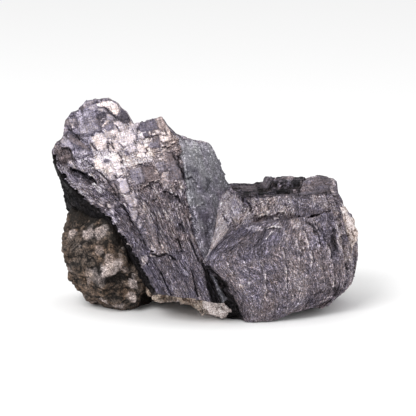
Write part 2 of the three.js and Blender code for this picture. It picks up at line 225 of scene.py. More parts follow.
def zone(down, across, soft=0.007, lean=0.0, rise=0.0, **amounts):
    """A soft-edged rectangle, from its ranges as shares of the face: `rise` lifts it in millimetres, and the
    other amounts are added to the face's own. Its across shares grow by `lean` per share of down."""
    return {"down": down, "across": across, "soft": soft, "lean": lean, "rise": rise, "amounts": amounts}


def patch(*corners, bright, warm=0.1, polish=0.5, rise=0.2, soft=0.2):
    """A flat cleavage plate of its own tone, with a convex outline. It sets "bright", "warm" and "polish",
    stands `rise` millimetres proud, and its edge is `soft` millimetres wide. The rim that faces up and left
    is painted pale as if lit, and the other rim and the foot around it are painted dark as shade."""
    return {"corners": np.array(corners) / FACE_SPAN, "rise": rise, "soft": soft,
            "tones": {"bright": bright, "warm": warm, "polish": polish}}


def ledge(*line, drop=0.2, reach=3.0, gap=0.4, dark=0.5, lip=0.0):
    """The broken edge of a sheet, along a line. On the right of a line drawn downwards the face lies `drop`
    millimetres lower and slopes back within `reach`. A gap `gap` millimetres wide follows the foot, painted
    darker by `dark` as shade, and `lip` paints a highlight along the edge."""
    return {"line": np.array(line) / FACE_SPAN, "drop": drop, "reach": reach, "gap": gap, "dark": dark,
            "lip": lip}


# the broad stepped face
CRYSTAL_FRONT = cleaved(
    swell=1, lamella=0.12, ragged=1.5, bright=0.04, warm=0.05, contrast=0.42,
    ledges=[
        # the cracks that part the left slab from the middle
        ledge((200, 250), (237, 283), (290, 308), (341, 331), (391, 335), (436, 323), (473, 306),
              (502, 294), drop=0.39, gap=0.5, dark=0.8),
        ledge((508, 293), (469, 331), (428, 360), (389, 371), drop=0.33, dark=0.7),
        ledge((784, 257), (768, 251), (737, 251), (695, 250), (658, 248), (624, 234), (591, 241),
              (558, 258), (519, 282), drop=1.04, reach=6, gap=0.8, dark=0.95),
        ledge((753, 257), (718, 217), (675, 207), (641, 178), drop=0.26, gap=0.35, dark=0.6),
        ledge((493, 269), (462, 275), (411, 282), drop=0.26, gap=0.5, dark=0.7),
        ledge((383, 290), (350, 285), (309, 269), drop=0.26, gap=0.5, dark=0.75),
        ledge((364, 226), (317, 225), (277, 213), (253, 180), (231, 131), (213, 89), drop=2.6, reach=5,
              gap=0.8, dark=0.95),
        # the left shoulder
        ledge((108, 263), (95, 247), (81, 232), (72, 214), (61, 189), drop=0.52, gap=0.5, dark=0.85),
        ledge((193, 173), (171, 154), (155, 171), (137, 166), (126, 141), (118, 106), drop=0.65, reach=2,
              gap=0.5, dark=0.85),
        ledge((150, 333), (130, 313), (119, 288), (104, 265), drop=0.26, gap=0.3),
        ledge((125, 340), (148, 350), (177, 367), drop=0.13, dark=0.6),
        # joints between the plates under the crown
        ledge((142, 472), (157, 488), (182, 500), drop=0.13, dark=0.75),
        ledge((208, 464), (189, 449), (161, 454), (141, 465)),
        ledge((89, 553), (103, 562), (116, 571), drop=0.13, gap=0.35, dark=0.6),
        ledge((192, 503), (228, 513), (278, 515)),
        ledge((5, 482), (17, 514), (35, 535), (50, 558), (61, 583), drop=0.1, gap=0.35, dark=0.7),
        ledge((99, 447), (102, 399), (106, 343), drop=0.13, gap=0.45, dark=0.35),
        ledge((161, 861), (162, 800), (171, 725), drop=0.33),
        ledge((238, 852), (238, 813), (243, 772), drop=0.33),
        ledge((222, 980), (225, 935), (230, 878), (230, 839), drop=0.65, reach=2, dark=0.45, lip=0.35),
        ledge((211, 726), (230, 736), (247, 723), drop=0.13, gap=0.35),
        ledge((267, 909), (304, 934), (342, 959), (376, 969), (410, 1003), (447, 1002), gap=0.7, dark=0.8),
        # steps and sheets of the lower middle and right
        ledge((346, 756), (376, 763), (394, 781), (396, 797), drop=-0.6, gap=0.3, dark=0.1, lip=0.6),
        ledge((335, 775), (336, 735), (316, 667), (294, 632), drop=0.39, dark=0.4),
        ledge((426, 784), (430, 738), (432, 683), (440, 616), (450, 543), drop=0.78, lip=0.5),
        ledge((432, 754), (462, 753), (490, 742), drop=0.26, gap=0.5, dark=0.6),
        ledge((474, 649), (458, 664), (440, 669), drop=0.26, gap=0.8, dark=0.8),
        ledge((591, 912), (557, 907), (535, 875), (521, 820), (504, 791), (496, 738), drop=1.04, reach=4,
              gap=0.7, dark=0.85, lip=0.15),
        ledge((452, 504), (472, 518), (509, 521), (543, 515), (571, 509), gap=0.35, dark=0.6),
        ledge((494, 500), (534, 484), (571, 449), drop=0.26, gap=0.35, dark=0.55),
        ledge((476, 552), (505, 546), (550, 528), gap=0.35),
        ledge((501, 622), (542, 618), (577, 633), (607, 650), drop=0.39, gap=0.35, dark=0.45),
        ledge((594, 689), (617, 704), (640, 710), (662, 705), gap=0.3, dark=0.1, lip=0.6),
        ledge((589, 521), (615, 552), (642, 547), (673, 526), (724, 498), (762, 464), (795, 448), drop=0.65,
              reach=5, gap=0.5, dark=0.7),
        ledge((662, 705), (680, 717), (698, 730), gap=0.6, dark=0.7),
        ledge((749, 712), (769, 720), (793, 735), (814, 721), drop=0.78, gap=0.8, dark=0.95),
        ledge((689, 810), (713, 834), (732, 863), drop=0.39, gap=0.8, dark=0.9),
        ledge((563, 904), (601, 894), (636, 912), (677, 916), dark=0.6),
        ledge((763, 880), (793, 909), (829, 905), (865, 906), drop=0.91, reach=4, gap=0.7, dark=0.95),
        ledge((838, 618), (829, 537), (813, 499), (812, 420), (807, 348), (790, 264), drop=1.04, reach=5,
              gap=0.6, dark=0.95, lip=0.2),
        ledge((820, 744), (820, 680), (814, 642), drop=0.39, gap=0.5, dark=0.8),
        # the foot
        ledge((876, 262), (926, 273), (976, 268), (998, 285), drop=0.33, gap=0.6, dark=0.85),
        ledge((832, 435), (861, 466), (901, 508), (930, 550), gap=0.35),
        ledge((847, 539), (878, 580), (906, 609), gap=0.35),
        ledge((835, 252), (887, 276), (931, 296), gap=0.35, dark=0.4),
        ledge((855, 637), (881, 687), (907, 701), drop=0.26, dark=0.6),
        ledge((886, 741), (922, 721), (963, 675), (994, 665), drop=1.04, reach=4, gap=0.6, dark=0.9),
        ledge((858, -59), (839, 79), (830, 178), drop=-0.2, gap=0.3, dark=0.1, lip=0.6),
        ledge((704, 564), (725, 511), (754, 490), drop=0.13, gap=0.3, dark=0.2, lip=0.4),
    ],
    patches=[
        # the crown
        patch((39, 272), (14, 378), (39, 425), (92, 436), (106, 343), (93, 264), (62, 235), bright=0.12,
              warm=-0.8, polish=0.35),
        patch((14, 378), (10, 418), (25, 441), (80, 435), (58, 416), bright=0, warm=-0.5),
        patch((30, 446), (29, 492), (43, 500), (55, 456), (44, 430), bright=-0.72, warm=-0.3, rise=-0.3),
        patch((57, 439), (56, 470), (72, 470), (85, 447), (76, 437), bright=-0.4, warm=-0.3),
        patch((53, 457), (48, 490), (61, 460), bright=0.77),
        patch((0, 324), (-18, 364), (-28, 414), (-24, 465), (-12, 452), (-1, 386), (10, 342), bright=0.02),
        patch((0, 324), (-9, 344), (-5, 357), (10, 338), (13, 325), bright=-0.55, warm=0.2),
        patch((-2, 379), (-10, 451), (7, 465), (17, 445), (8, 396), bright=0.2, warm=-0.3),
        patch((-8, 450), (-16, 506), (-11, 572), (15, 613), (26, 600), (14, 530), (2, 460), bright=0.74,
              warm=0.6, polish=0.4),
        patch((12, 531), (17, 605), (28, 622), (49, 589), (50, 574), (30, 545), bright=0.7, warm=0.7,
              polish=0.4),
        patch((7, 465), (15, 499), (34, 521), (27, 493), (18, 452), bright=0.37, warm=0.2),
        patch((42, 600), (35, 627), (35, 649), (72, 677), (91, 638), (79, 605), (58, 577), bright=-0.52,
              warm=-0.35, polish=0.55, rise=0.4),
        patch((36, 504), (40, 540), (64, 574), (66, 519), (63, 497), bright=0.28, warm=-0.3),
        patch((78, 451), (64, 489), (64, 527), (75, 492), (84, 455), bright=0.57, warm=0.5),
        patch((87, 462), (69, 510), (73, 547), (99, 533), (105, 483), bright=-0.03, warm=-0.8),
        patch((68, 541), (74, 592), (96, 643), (117, 617), (111, 566), (80, 543), bright=0.42, warm=-0.1),
        # the plates under the crown
        patch((109, 341), (105, 444), (133, 469), (169, 442), (173, 369), (144, 360), bright=0.6, warm=0.2,
              rise=0.4),
        patch((106, 452), (102, 555), (125, 574), (133, 501), (128, 464), bright=0.42),
        patch((116, 571), (110, 660), (156, 685), (179, 651), (182, 571), (145, 533), (120, 538),
              bright=0.7, rise=0.4),
        patch((135, 484), (149, 531), (186, 561), (205, 514), (188, 473), bright=0.52),
        patch((86, 663), (90, 692), (123, 700), (146, 681), (120, 671), bright=0.42, warm=0.3),
        patch((120, 709), (103, 740), (99, 811), (102, 840), (137, 864), (139, 793), (136, 733),
              bright=-0.22, warm=-0.5, rise=-0.3),
        patch((90, 692), (91, 738), (107, 738), (119, 701), bright=0.37),
        patch((103, 855), (99, 887), (117, 918), (152, 927), (150, 881), (131, 866), bright=0.22, warm=0.9),
        patch((117, 918), (132, 935), (187, 946), (190, 929), (150, 912), bright=0.47, warm=0.4),
        patch((153, 872), (155, 903), (167, 906), (168, 875), bright=0.84),
        patch((171, 866), (177, 926), (203, 917), (201, 870), (184, 853), bright=0.77, rise=0.3),
        patch((145, 736), (141, 777), (160, 784), (164, 744), bright=-0.25, warm=-0.1),
        patch((142, 714), (141, 738), (163, 737), (164, 713), bright=0.72),
        patch((136, 787), (138, 801), (157, 794), (151, 781), bright=0.62),
        patch((171, 796), (171, 843), (188, 852), (187, 805), bright=-0.12, warm=0.2),
        patch((187, 774), (191, 835), (224, 840), (220, 778), (204, 752), bright=0.08, warm=-0.7),
        patch((178, 675), (202, 737), (236, 734), (233, 679), (206, 657), bright=0.64),
        patch((180, 588), (181, 666), (216, 653), (223, 587), bright=0.5),
        patch((199, 564), (202, 583), (230, 592), (232, 568), bright=-0.02, warm=-0.7),
        patch((230, 664), (241, 725), (266, 719), (264, 671), (246, 644), bright=0.77),
        patch((222, 443), (221, 507), (285, 513), (312, 482), (295, 445), (260, 431), bright=0.8, rise=0.3),
        patch((216, 308), (209, 368), (263, 373), (272, 338), (265, 307), bright=0.74, warm=0.4),
        patch((253, 360), (253, 433), (303, 443), (342, 422), (316, 382), bright=0.64),
        patch((234, 374), (218, 404), (226, 433), (240, 437), (245, 394), bright=-0.2, warm=-0.2),
        patch((303, 362), (323, 413), (372, 407), (371, 357), bright=0.35),
        patch((303, 443), (298, 494), (339, 489), (360, 430), bright=0.62),
        patch((372, 407), (365, 461), (388, 465), (395, 417), bright=0.66),
        # smooth facets and narrow plates down the middle
        patch((395, 417), (372, 499), (460, 467), (470, 388), (455, 371), bright=0.16, warm=-0.2,
              polish=0.95, rise=0.3),
        patch((486, 372), (468, 485), (500, 493), (548, 451), (565, 387), (543, 345), (525, 336),
              bright=0.25, rise=0.3),
        patch((497, 466), (536, 447), (555, 404), (526, 409), bright=0.64),
        patch((521, 300), (529, 317), (562, 298), (549, 288), bright=0.72),
        patch((552, 317), (566, 397), (598, 369), (611, 270), (583, 280), bright=0.26),
        patch((601, 287), (598, 369), (644, 270), (626, 258), bright=0.3, warm=0.2),
        patch((664, 253), (652, 356), (675, 310), (686, 264), bright=0.3),
        patch((746, 346), (768, 362), (802, 355), (798, 299), bright=0.3, warm=0.2),
        patch((763, 478), (785, 510), (792, 468), (776, 460), bright=0.47),
        patch((799, 249), (799, 313), (815, 319), (813, 239), bright=0.52, warm=0.3),
        patch((803, 112), (796, 221), (835, 170), (844, 70), bright=0.3, warm=0.3),
        # the left shoulder and the left slab
        patch((49, 173), (31, 199), (28, 278), (52, 280), (56, 215), bright=0.05, warm=-0.1),
        patch((46, 229), (49, 251), (63, 242), (62, 228), bright=0.42, warm=0),
        patch((99, 110), (84, 151), (104, 187), (134, 208), (143, 178), (122, 143), bright=0.18, warm=-0.7),
        patch((152, 213), (151, 309), (174, 313), (187, 233), (171, 193), bright=0.2, warm=-0.6,
              polish=0.2),
        patch((78, 202), (111, 253), (142, 306), (175, 320), (150, 270), (131, 217), (103, 179),
              bright=-0.12, warm=0.4),
        patch((122, 95), (133, 145), (146, 169), (175, 151), (200, 80), (183, 16), (140, 23), bright=-0.34,
              warm=0.4, polish=0, rise=-0.6, soft=0.6),
        # the recess, sunk and painted near-black as shade
        patch((247, 140), (262, 185), (307, 220), (345, 221), (304, 172), bright=-0.85, warm=0, rise=-0.5,
              soft=0.8),
        patch((261, 111), (304, 172), (353, 216), (345, 136), bright=-0.3, soft=0.6),
        patch((222, 31), (219, 87), (307, 104), (357, 61), (285, 9), bright=0.12, warm=-0.4),
        patch((456, 171), (489, 185), (526, 68), (495, 70), bright=0.2, warm=-0.1),
        patch((521, 136), (527, 189), (587, 94), (573, 66), bright=0.37, warm=-0.3),
        patch((569, 87), (577, 105), (607, 63), (606, 32), bright=0.35, warm=-1),
        patch((726, -34), (723, 53), (747, -57), (743, -55), bright=0.67, warm=0.2),
        patch((648, 15), (658, 77), (693, -42), (676, -31), bright=0.2, warm=-0.2),
        patch((854, -1), (849, 145), (948, 141), (987, -52), bright=-0.15, warm=-0.6),
        # the brown plates on the right
        patch((322, 657), (337, 742), (369, 766), (398, 787), (421, 769), (426, 653), (387, 650),
              bright=-0.08, warm=0.7, rise=-0.3),
        patch((326, 551), (320, 650), (418, 641), (433, 551), (392, 538), bright=0.06, warm=-0.4),
        patch((318, 763), (317, 843), (379, 836), (378, 779), bright=0.12, warm=-0.3),
        patch((389, 808), (389, 866), (487, 822), (493, 769), (446, 773), bright=0.24, warm=0.3),
        patch((257, 855), (274, 916), (410, 1000), (452, 1020), (445, 880), (351, 876), bright=-0.1,
              warm=0.5, rise=-0.3),
        patch((268, 917), (320, 956), (383, 977), (447, 1000), (417, 971), (338, 927), bright=-0.45,
              warm=0.2),
        # a painted shadow beside the plates
        patch((523, 808), (537, 874), (568, 901), (566, 810), (540, 774), bright=-0.5, warm=0.2, soft=0.8),
        patch((444, 648), (442, 686), (481, 653), (467, 637), bright=-0.55, warm=0),
        patch((225, 880), (200, 990), (218, 1040), (246, 898), bright=0.32, warm=0.5),
        patch((883, 635), (896, 706), (915, 672), (910, 617), bright=0.3, warm=-1),
        # painted glints along the left edge: pale plates where light catches it
        patch((501, 150), (512, 174), (538, 149), (533, 112), bright=0.55, warm=-0.2),
        patch((547, 108), (558, 136), (580, 94), (571, 74), bright=0.5, warm=-0.6),
        patch((584, 59), (605, 88), (624, 40), (607, -7), bright=0.55, warm=-0.9),
        patch((450, 171), (483, 181), (503, 113), (471, 108), bright=0.22, warm=-0.5, soft=0.5),
        patch((672, 33), (689, 71), (710, -19), (694, -89), bright=0.28, warm=-0.7, soft=0.4),
        patch((725, 21), (740, 79), (757, 1), (748, -27), bright=0.55, warm=0),
        patch((318, 76), (343, 143), (383, 141), (368, 65), bright=0.2, warm=-0.8, soft=0.6),
        patch((433, 78), (474, 81), (505, -9), (472, -5), bright=0.25, warm=-0.4, soft=0.5),
    ],
    zones=[
        # grounds: violet on the left, pale plates in the middle, brown plates below them
        zone((-0.1, 0.12), (-0.1, 0.19), bright=-0.03, warm=-0.6),
        zone((-0.1, 0.13), (0.19, 0.45), bright=0.04, warm=-0.8),
        zone((0, 0.11), (0.44, 0.7), bright=0.2, warm=-0.2),
        zone((0.09, 0.3), (0.33, 0.76), bright=0.5, warm=-0.1, contrast=-0.2),
        zone((0.1, 0.26), (0.72, 1.05), bright=0.24, warm=0.3),
        zone((0.12, 0.24), (0.17, 0.33), bright=0.1, warm=-0.8),
        zone((0.2, 0.36), (0.3, 0.52), bright=0.36, warm=0),
        zone((0.25, 0.42), (0.54, 0.77), bright=0.1, warm=0.1, lamella=0.2),
        zone((0.25, 0.5), (0.76, 1.05), bright=0.06, warm=0.3),
        zone((0.44, 0.6), (0.36, 0.5), bright=0.25, warm=0.1),
        # the slab on the left, the sheets of the middle and the foot
        zone((0.19, 0.43), (-0.1, 0.28), bright=0.24),
        zone((0.19, 0.6), (-0.1, 0.28), rise=-1, bright=-0.08, warm=-0.3, cleavage=-0.2, lamella=0.75),
        zone((0.6, 1.05), (-0.1, 0.28), rise=-1, bright=-0.09, warm=-0.25, cleavage=-0.2, lamella=0.75),
        # painted glints near the left edge
        zone((0.55, 0.63), (-0.05, 0.1), bright=0.2, warm=-0.5, contrast=0.5),
        zone((0.44, 0.81), (0.46, 1.05), bright=0.02, warm=0.15, cleavage=-0.25, lamella=0.8),
        zone((0.81, 1.05), (0.1, 0.95), bright=-0.06, warm=-0.3, cleavage=-0.35, lamella=0.6),
        zone((0.862, 1.05), (-0.1, 0.16), bright=-0.12, warm=-0.6, polish=0.5),
        # the crevice at the lower right, sunk and painted near-black as shade
        zone((0.865, 1.1), (0.94, 1.3), lean=-0.8, rise=-2.6, bright=-1, soft=0.012),
    ],
)

# the smooth face beside it, greenish grey and cut off by a step low down
CRYSTAL_RIGHT = cleaved(
    cleavage=0.12, lamella=0.2, ragged=1, bright=0.1, warm=-1.85, polish=0.15, contrast=0.3,
    ledges=[
        ledge((278, -25), (327, 1), (382, 6), (437, 49), dark=0.3),
        ledge((429, 171), (443, 96), (454, 44), drop=0.5, gap=0.6, dark=0.75),
        ledge((435, 166), (452, 201), (476, 233)),
        ledge((443, 504), (468, 506), (495, 465), (515, 405), drop=0.1, gap=0.6, dark=0.45),
        ledge((593, 332), (607, 192), (618, 60), gap=0.3, dark=0.1, lip=0.25),
        ledge((587, 46), (601, -13), (621, -54), drop=0.1, gap=0.3, dark=0.1, lip=0.25),
        ledge((670, 451), (709, 381), (746, 282), (779, 200), drop=-0.3, gap=0.8, dark=0.4),
        ledge((371, 57), (402, 81), (427, 46), gap=0.5, dark=0.4),
        ledge((350, 864), (376, 879), (407, 926), drop=0.1, dark=0.3),
        ledge((506, -22), (563, -14), (614, 28), (673, 67), (729, 80), drop=0.4),
    ],
    zones=[
        zone((0.1, 0.25), (-0.1, 1.1), bright=0.24, warm=0.3, polish=-0.2, contrast=0.2, cleavage=0.2,
             soft=0.03),
        zone((0.2, 0.45), (0, 0.5), bright=0.1, soft=0.05),
        zone((0.25, 0.42), (0.5, 0.95), bright=0.06, soft=0.05),
        zone((0.385, 0.412), (0.17, 0.31), lean=-0.3, bright=-0.4, soft=0.02),
        zone((0.37, 0.395), (0.08, 0.16), bright=-0.3, soft=0.02),
        zone((0.43, 0.49), (0.46, 0.54), lean=-0.3, bright=-0.4, warm=-0.3, soft=0.02),
        zone((0.499, 0.516), (0.26, 0.46), lean=0.2, bright=-0.35, soft=0.02),
        zone((0.2, 0.26), (0.15, 0.42), lean=0.2, bright=0.14, warm=-0.2, soft=0.02),
        zone((0.53, 0.57), (0.15, 0.55), lean=-0.1, bright=0.12, warm=0.3, soft=0.03),
        zone((0.64, 0.69), (0.18, 0.36), bright=-0.25, warm=0.6, soft=0.03),
        zone((0.5, 0.6), (0.62, 0.9), lean=0.3, bright=0.08, warm=1.2, soft=0.04),
        zone((0.2, 0.6), (-0.1, 0.05), bright=0.2, polish=-0.4, cleavage=0.3),
        zone((0.6, 0.9), (-0.1, 0.12), bright=0.05, warm=0.4, polish=-0.5, lamella=0.4),
        zone((0.67, 0.95), (0.26, 0.38), lean=-0.6, rise=-0.3, bright=-0.02, warm=0.2, polish=-0.2,
             soft=0.015),
        zone((0.67, 1.1), (0.38, 1.1), lean=-0.6, rise=0.5, bright=0.14, warm=0.1, soft=0.012),
    ],
)

# the underside of the overhang above the lobe, painted near-black as shade
CRYSTAL_LEFT = cleaved(
    cleavage=0.8, lamella=0.4, ragged=1.5, bright=-1.4, warm=0.1,
    zones=[
        zone((-0.1, 0.4), (-0.1, 1.1), rise=-0.9, soft=0.05),
        zone((0.38, 0.6), (0.2, 1.1), rise=1.3, soft=0.04),
        zone((0.34, 0.46), (0.33, 0.37), lean=0.6, bright=0.7, warm=0.3, soft=0.01),
    ],
)

CRYSTAL_TOP = cleaved(
    swell=0.5, cleavage=2, lamella=0.4, ragged=1.5, bright=0.1, warm=-0.1, contrast=0.5,
    zones=[
        zone((0.35, 0.62), (-0.1, 0.5), bright=0.6, warm=0.3),
    ],
)

CRYSTAL_BACK = cleaved(
    swell=3, cleavage=1.8, ragged=1.5, bright=-0.05, warm=-0.1, contrast=0.5,
    zones=[
        zone((-0.1, 0.4), (-0.1, 0.5), rise=1.5, bright=0.2),
        zone((0.15, 0.3), (0.2, 0.4), bright=0.4),
        zone((0.15, 0.6), (0.65, 1.1), rise=-1.5, bright=-0.1, warm=-0.3, polish=0.5),
    ],
)

CRYSTAL_BOTTOM = cleaved(
    lamella=0.3, ragged=1, bright=-0.6, warm=0.1, contrast=0.3,
)

# the layered front of the shelf, with the hollow under its lip
SHELF_FRONT = cleaved(
    swell=0.6, cleavage=0.12, lamella=0.65, bright=0.2, warm=0.2,
    ledges=[
        ledge((427, 925), (463, 842), (508, 771), (534, 694), (541, 625), (506, 559), drop=1.6, reach=5,
              gap=0.6, dark=0.9),
        ledge((483, 262), (496, 214), (518, 171), drop=0.7, lip=0.7),
        ledge((456, 441), (471, 392), (478, 342), drop=0.6, dark=0.4, lip=0.6),
        ledge((7, 691), (-23, 630), drop=0.4, gap=0.7, dark=0.85),
        ledge((-21, 797), (-27, 724), drop=0.4, gap=0.6, dark=0.8),
        ledge((-11, 46), (222, 55), (420, 75), (524, 113), drop=0.4, gap=0.6),
        ledge((524, 113), (578, 175), (627, 236), drop=0.4, dark=0.6),
        ledge((583, 429), (570, 386), (588, 334), drop=0.5, dark=0.3, lip=0.7),
        ledge((133, 140), (329, 132), (480, 169), gap=0.3, dark=0.3, lip=0.2),
        ledge((85, 270), (313, 248), (431, 273), gap=0.3, dark=0.3, lip=0.15),
        ledge((242, 431), (377, 446), (474, 484), drop=0.3, dark=0.45),
        ledge((314, 647), (311, 584)),
        ledge((276, 901), (390, 885), (478, 872), gap=0.35, dark=0.4),
    ],
    patches=[
        patch((357, 509), (364, 666), (408, 853), (493, 791), (535, 634), (491, 537), bright=-0.12,
              warm=-0.2, polish=0.3, rise=0, soft=0.6),
        patch((538, 148), (529, 314), (639, 354), (649, 228), bright=-0.22, warm=0.3, rise=-0.8, soft=0.5),
        patch((545, 408), (534, 564), (596, 606), (663, 529), (641, 438), bright=-0.28, warm=0.3, rise=-0.9,
              soft=0.6),
        patch((515, 320), (531, 384), (582, 419), (582, 351), bright=0.3, warm=-0.3, rise=0.6),
        patch((-53, 0), (-11, 46), (282, 48), (126, 0), bright=0.12, warm=-0.5, polish=0.3),
        patch((23, 87), (43, 211), (429, 231), (461, 134), bright=0.17, warm=0.35, polish=0, soft=0.8),
        patch((5, 598), (20, 701), (139, 692), (98, 612), bright=-0.3),
    ],
    zones=[
        # a painted shadow along the top edge
        zone((-0.1, 0.03), (0.02, 0.62), rise=-0.7, bright=-0.45, soft=0.02),
        zone((-0.1, 0.03), (0.62, 0.95), bright=-0.2, warm=-0.1),
        zone((0.05, 0.44), (0.52, 1.1), bright=-0.08, warm=-0.4),
        zone((0.25, 1.1), (-0.1, 0.03), lean=0.35, rise=0.4, bright=0.08, warm=-0.3),
        # the hollow, sunk and painted darker as shade
        zone((0.5, 0.7), (0.13, 0.55), rise=-1.2, bright=-0.12, warm=0.1, soft=0.02),
        zone((0.5, 1.1), (0.74, 1.1), bright=-0.04, warm=-0.35, contrast=0.2),
    ],
)

# the finely layered top, its dark tone a painted reflection of dark surroundings, with paler sheets at the
# right end
SHELF_TOP = cleaved(
    cleavage=0.6, lamella=0.3, bright=-0.62, warm=0.05, contrast=0.9,
    ledges=[
        ledge((798, 1636), (714, 815), (635, 354), (577, -5), drop=0.9, reach=4, gap=0.5, dark=0.8,
              lip=0.3),
        ledge((394, 360), (460, 653), (532, 950), drop=0.4, dark=0.3, lip=1),
        ledge((381, 642), (440, 882), (494, 1084), drop=0.4, dark=0.3, lip=0.9),
        ledge((635, 354), (583, 469), (518, 403), drop=0.4, gap=0.6, dark=0.9),
        ledge((298, 788), (310, 513), (328, 303), drop=0.3, gap=0.5, dark=0.7),
    ],
    patches=[
        patch((805, 1790), (888, 1490), (1010, 1850), (1010, 1030), (952, 373), (804, 136), (631, 24),
              (591, 44), (687, 684), bright=-0.08, warm=0.2, polish=0.2, soft=0.4),
        patch((872, 1340), (971, 1630), (964, 908), (945, 609), (845, 528), bright=-0.25, polish=0.4,
              rise=0, soft=1.2),
        patch((978, 1120), (1000, 971), (1000, 83), (952, 145), bright=0.3, warm=0.2, polish=0.2, soft=0.4),
        patch((677, 1470), (775, 1400), (741, 1110), (655, 1090), bright=-0.95, warm=0, rise=-0.6,
              soft=0.4),
        patch((571, 706), (679, 707), (635, 354), (531, 314), bright=-0.85, warm=0, rise=-0.4, soft=0.4),
        patch((440, 541), (528, 398), (512, 87), (393, 135), bright=-0.95, warm=0, rise=-0.6, soft=0.5),
        patch((237, 480), (331, 532), (310, 220), (214, 187), bright=-0.9, warm=0, rise=-0.5, soft=0.5),
        patch((84, 530), (160, 501), (126, 135), (58, 240), bright=-0.9, warm=0, rise=-0.5, soft=0.5),
        patch((0, 991), (88, 972), (64, 608), (0, 892), bright=-0.5, warm=-0.2),
        patch((89, 817), (240, 788), (226, 474), (73, 519), bright=-0.38, warm=0.3),
        patch((324, 1070), (443, 1160), (381, 642), (298, 689), bright=-0.3, warm=0.2),
        patch((524, 1210), (642, 1380), (625, 774), (517, 883), bright=-0.22, warm=0.3),
        patch((524, 719), (602, 1020), (631, 866), (560, 547), bright=0.15, warm=0.3),
    ],
    zones=[
        zone((0, 0.62), (0.1, 0.3), rise=-1, bright=-0.1, soft=0.03),
        zone((0.36, 1.06), (0.34, 0.55), rise=1.2, soft=0.02),
        zone((0.36, 1.06), (0.55, 1.1), rise=3, soft=0.02),
        zone((0.24, 0.36), (0.55, 1.1), rise=0.6, soft=0.02),
        zone((0.84, 1.06), (0.2, 1.1), rise=0.5, soft=0.03),
        zone((0.64, 1.1), (0.05, 0.8), bright=0.26, warm=0.2, polish=0.1, contrast=-0.2),
    ],
)

# the fibrous flank that runs down to the crystal
SHELF_LEFT = cleaved(
    cleavage=0, lamella=0.45, ragged=1, bright=0.33, warm=-0.3, contrast=0.3,
    ledges=[
        ledge((22, 603), (173, 667), (312, 714), drop=0.4, gap=0.5, dark=0.7),
        ledge((0, 413), (160, 548), (286, 599), drop=0.3, gap=0.45, dark=0.6),
        ledge((495, 604), (558, 416), (616, 238), (671, 93), drop=0.3, dark=0.4),
        ledge((420, 409), (461, 316), (508, 187), gap=0.3, dark=0.2, lip=0.6),
        ledge((950, 329), (874, 421), (807, 419), gap=0.3, dark=0.2, lip=0.7),
        ledge((244, 259), (392, 127), (477, -15), gap=0.35, dark=0.35),
        ledge((532, 272), (582, 114), (618, 12), gap=0.35, dark=0.35, lip=0.2),
    ],
    patches=[
        patch((634, 698), (531, 570), (645, 182), (734, 39), (850, 82), (833, 553), bright=0.44, warm=-0.1,
              polish=0.2, soft=1),
    ],
    zones=[
        zone((-0.1, 0.1), (0, 1.1), bright=-0.3, lamella=0.3),
    ],
)

SHELF_RIGHT = cleaved(
    swell=1.5, cleavage=0.8, lamella=0.4, bright=-0.1, warm=-0.1,
    zones=[
        zone((-0.1, 0.6), (0.2, 0.5), rise=-0.8),
    ],
)

SHELF_BACK = cleaved(
    swell=2, cleavage=1.4, ragged=1.4, bright=-0.1, contrast=0.45,
    zones=[
        zone((-0.1, 0.6), (0.27, 0.6), rise=1.3),
    ],
)

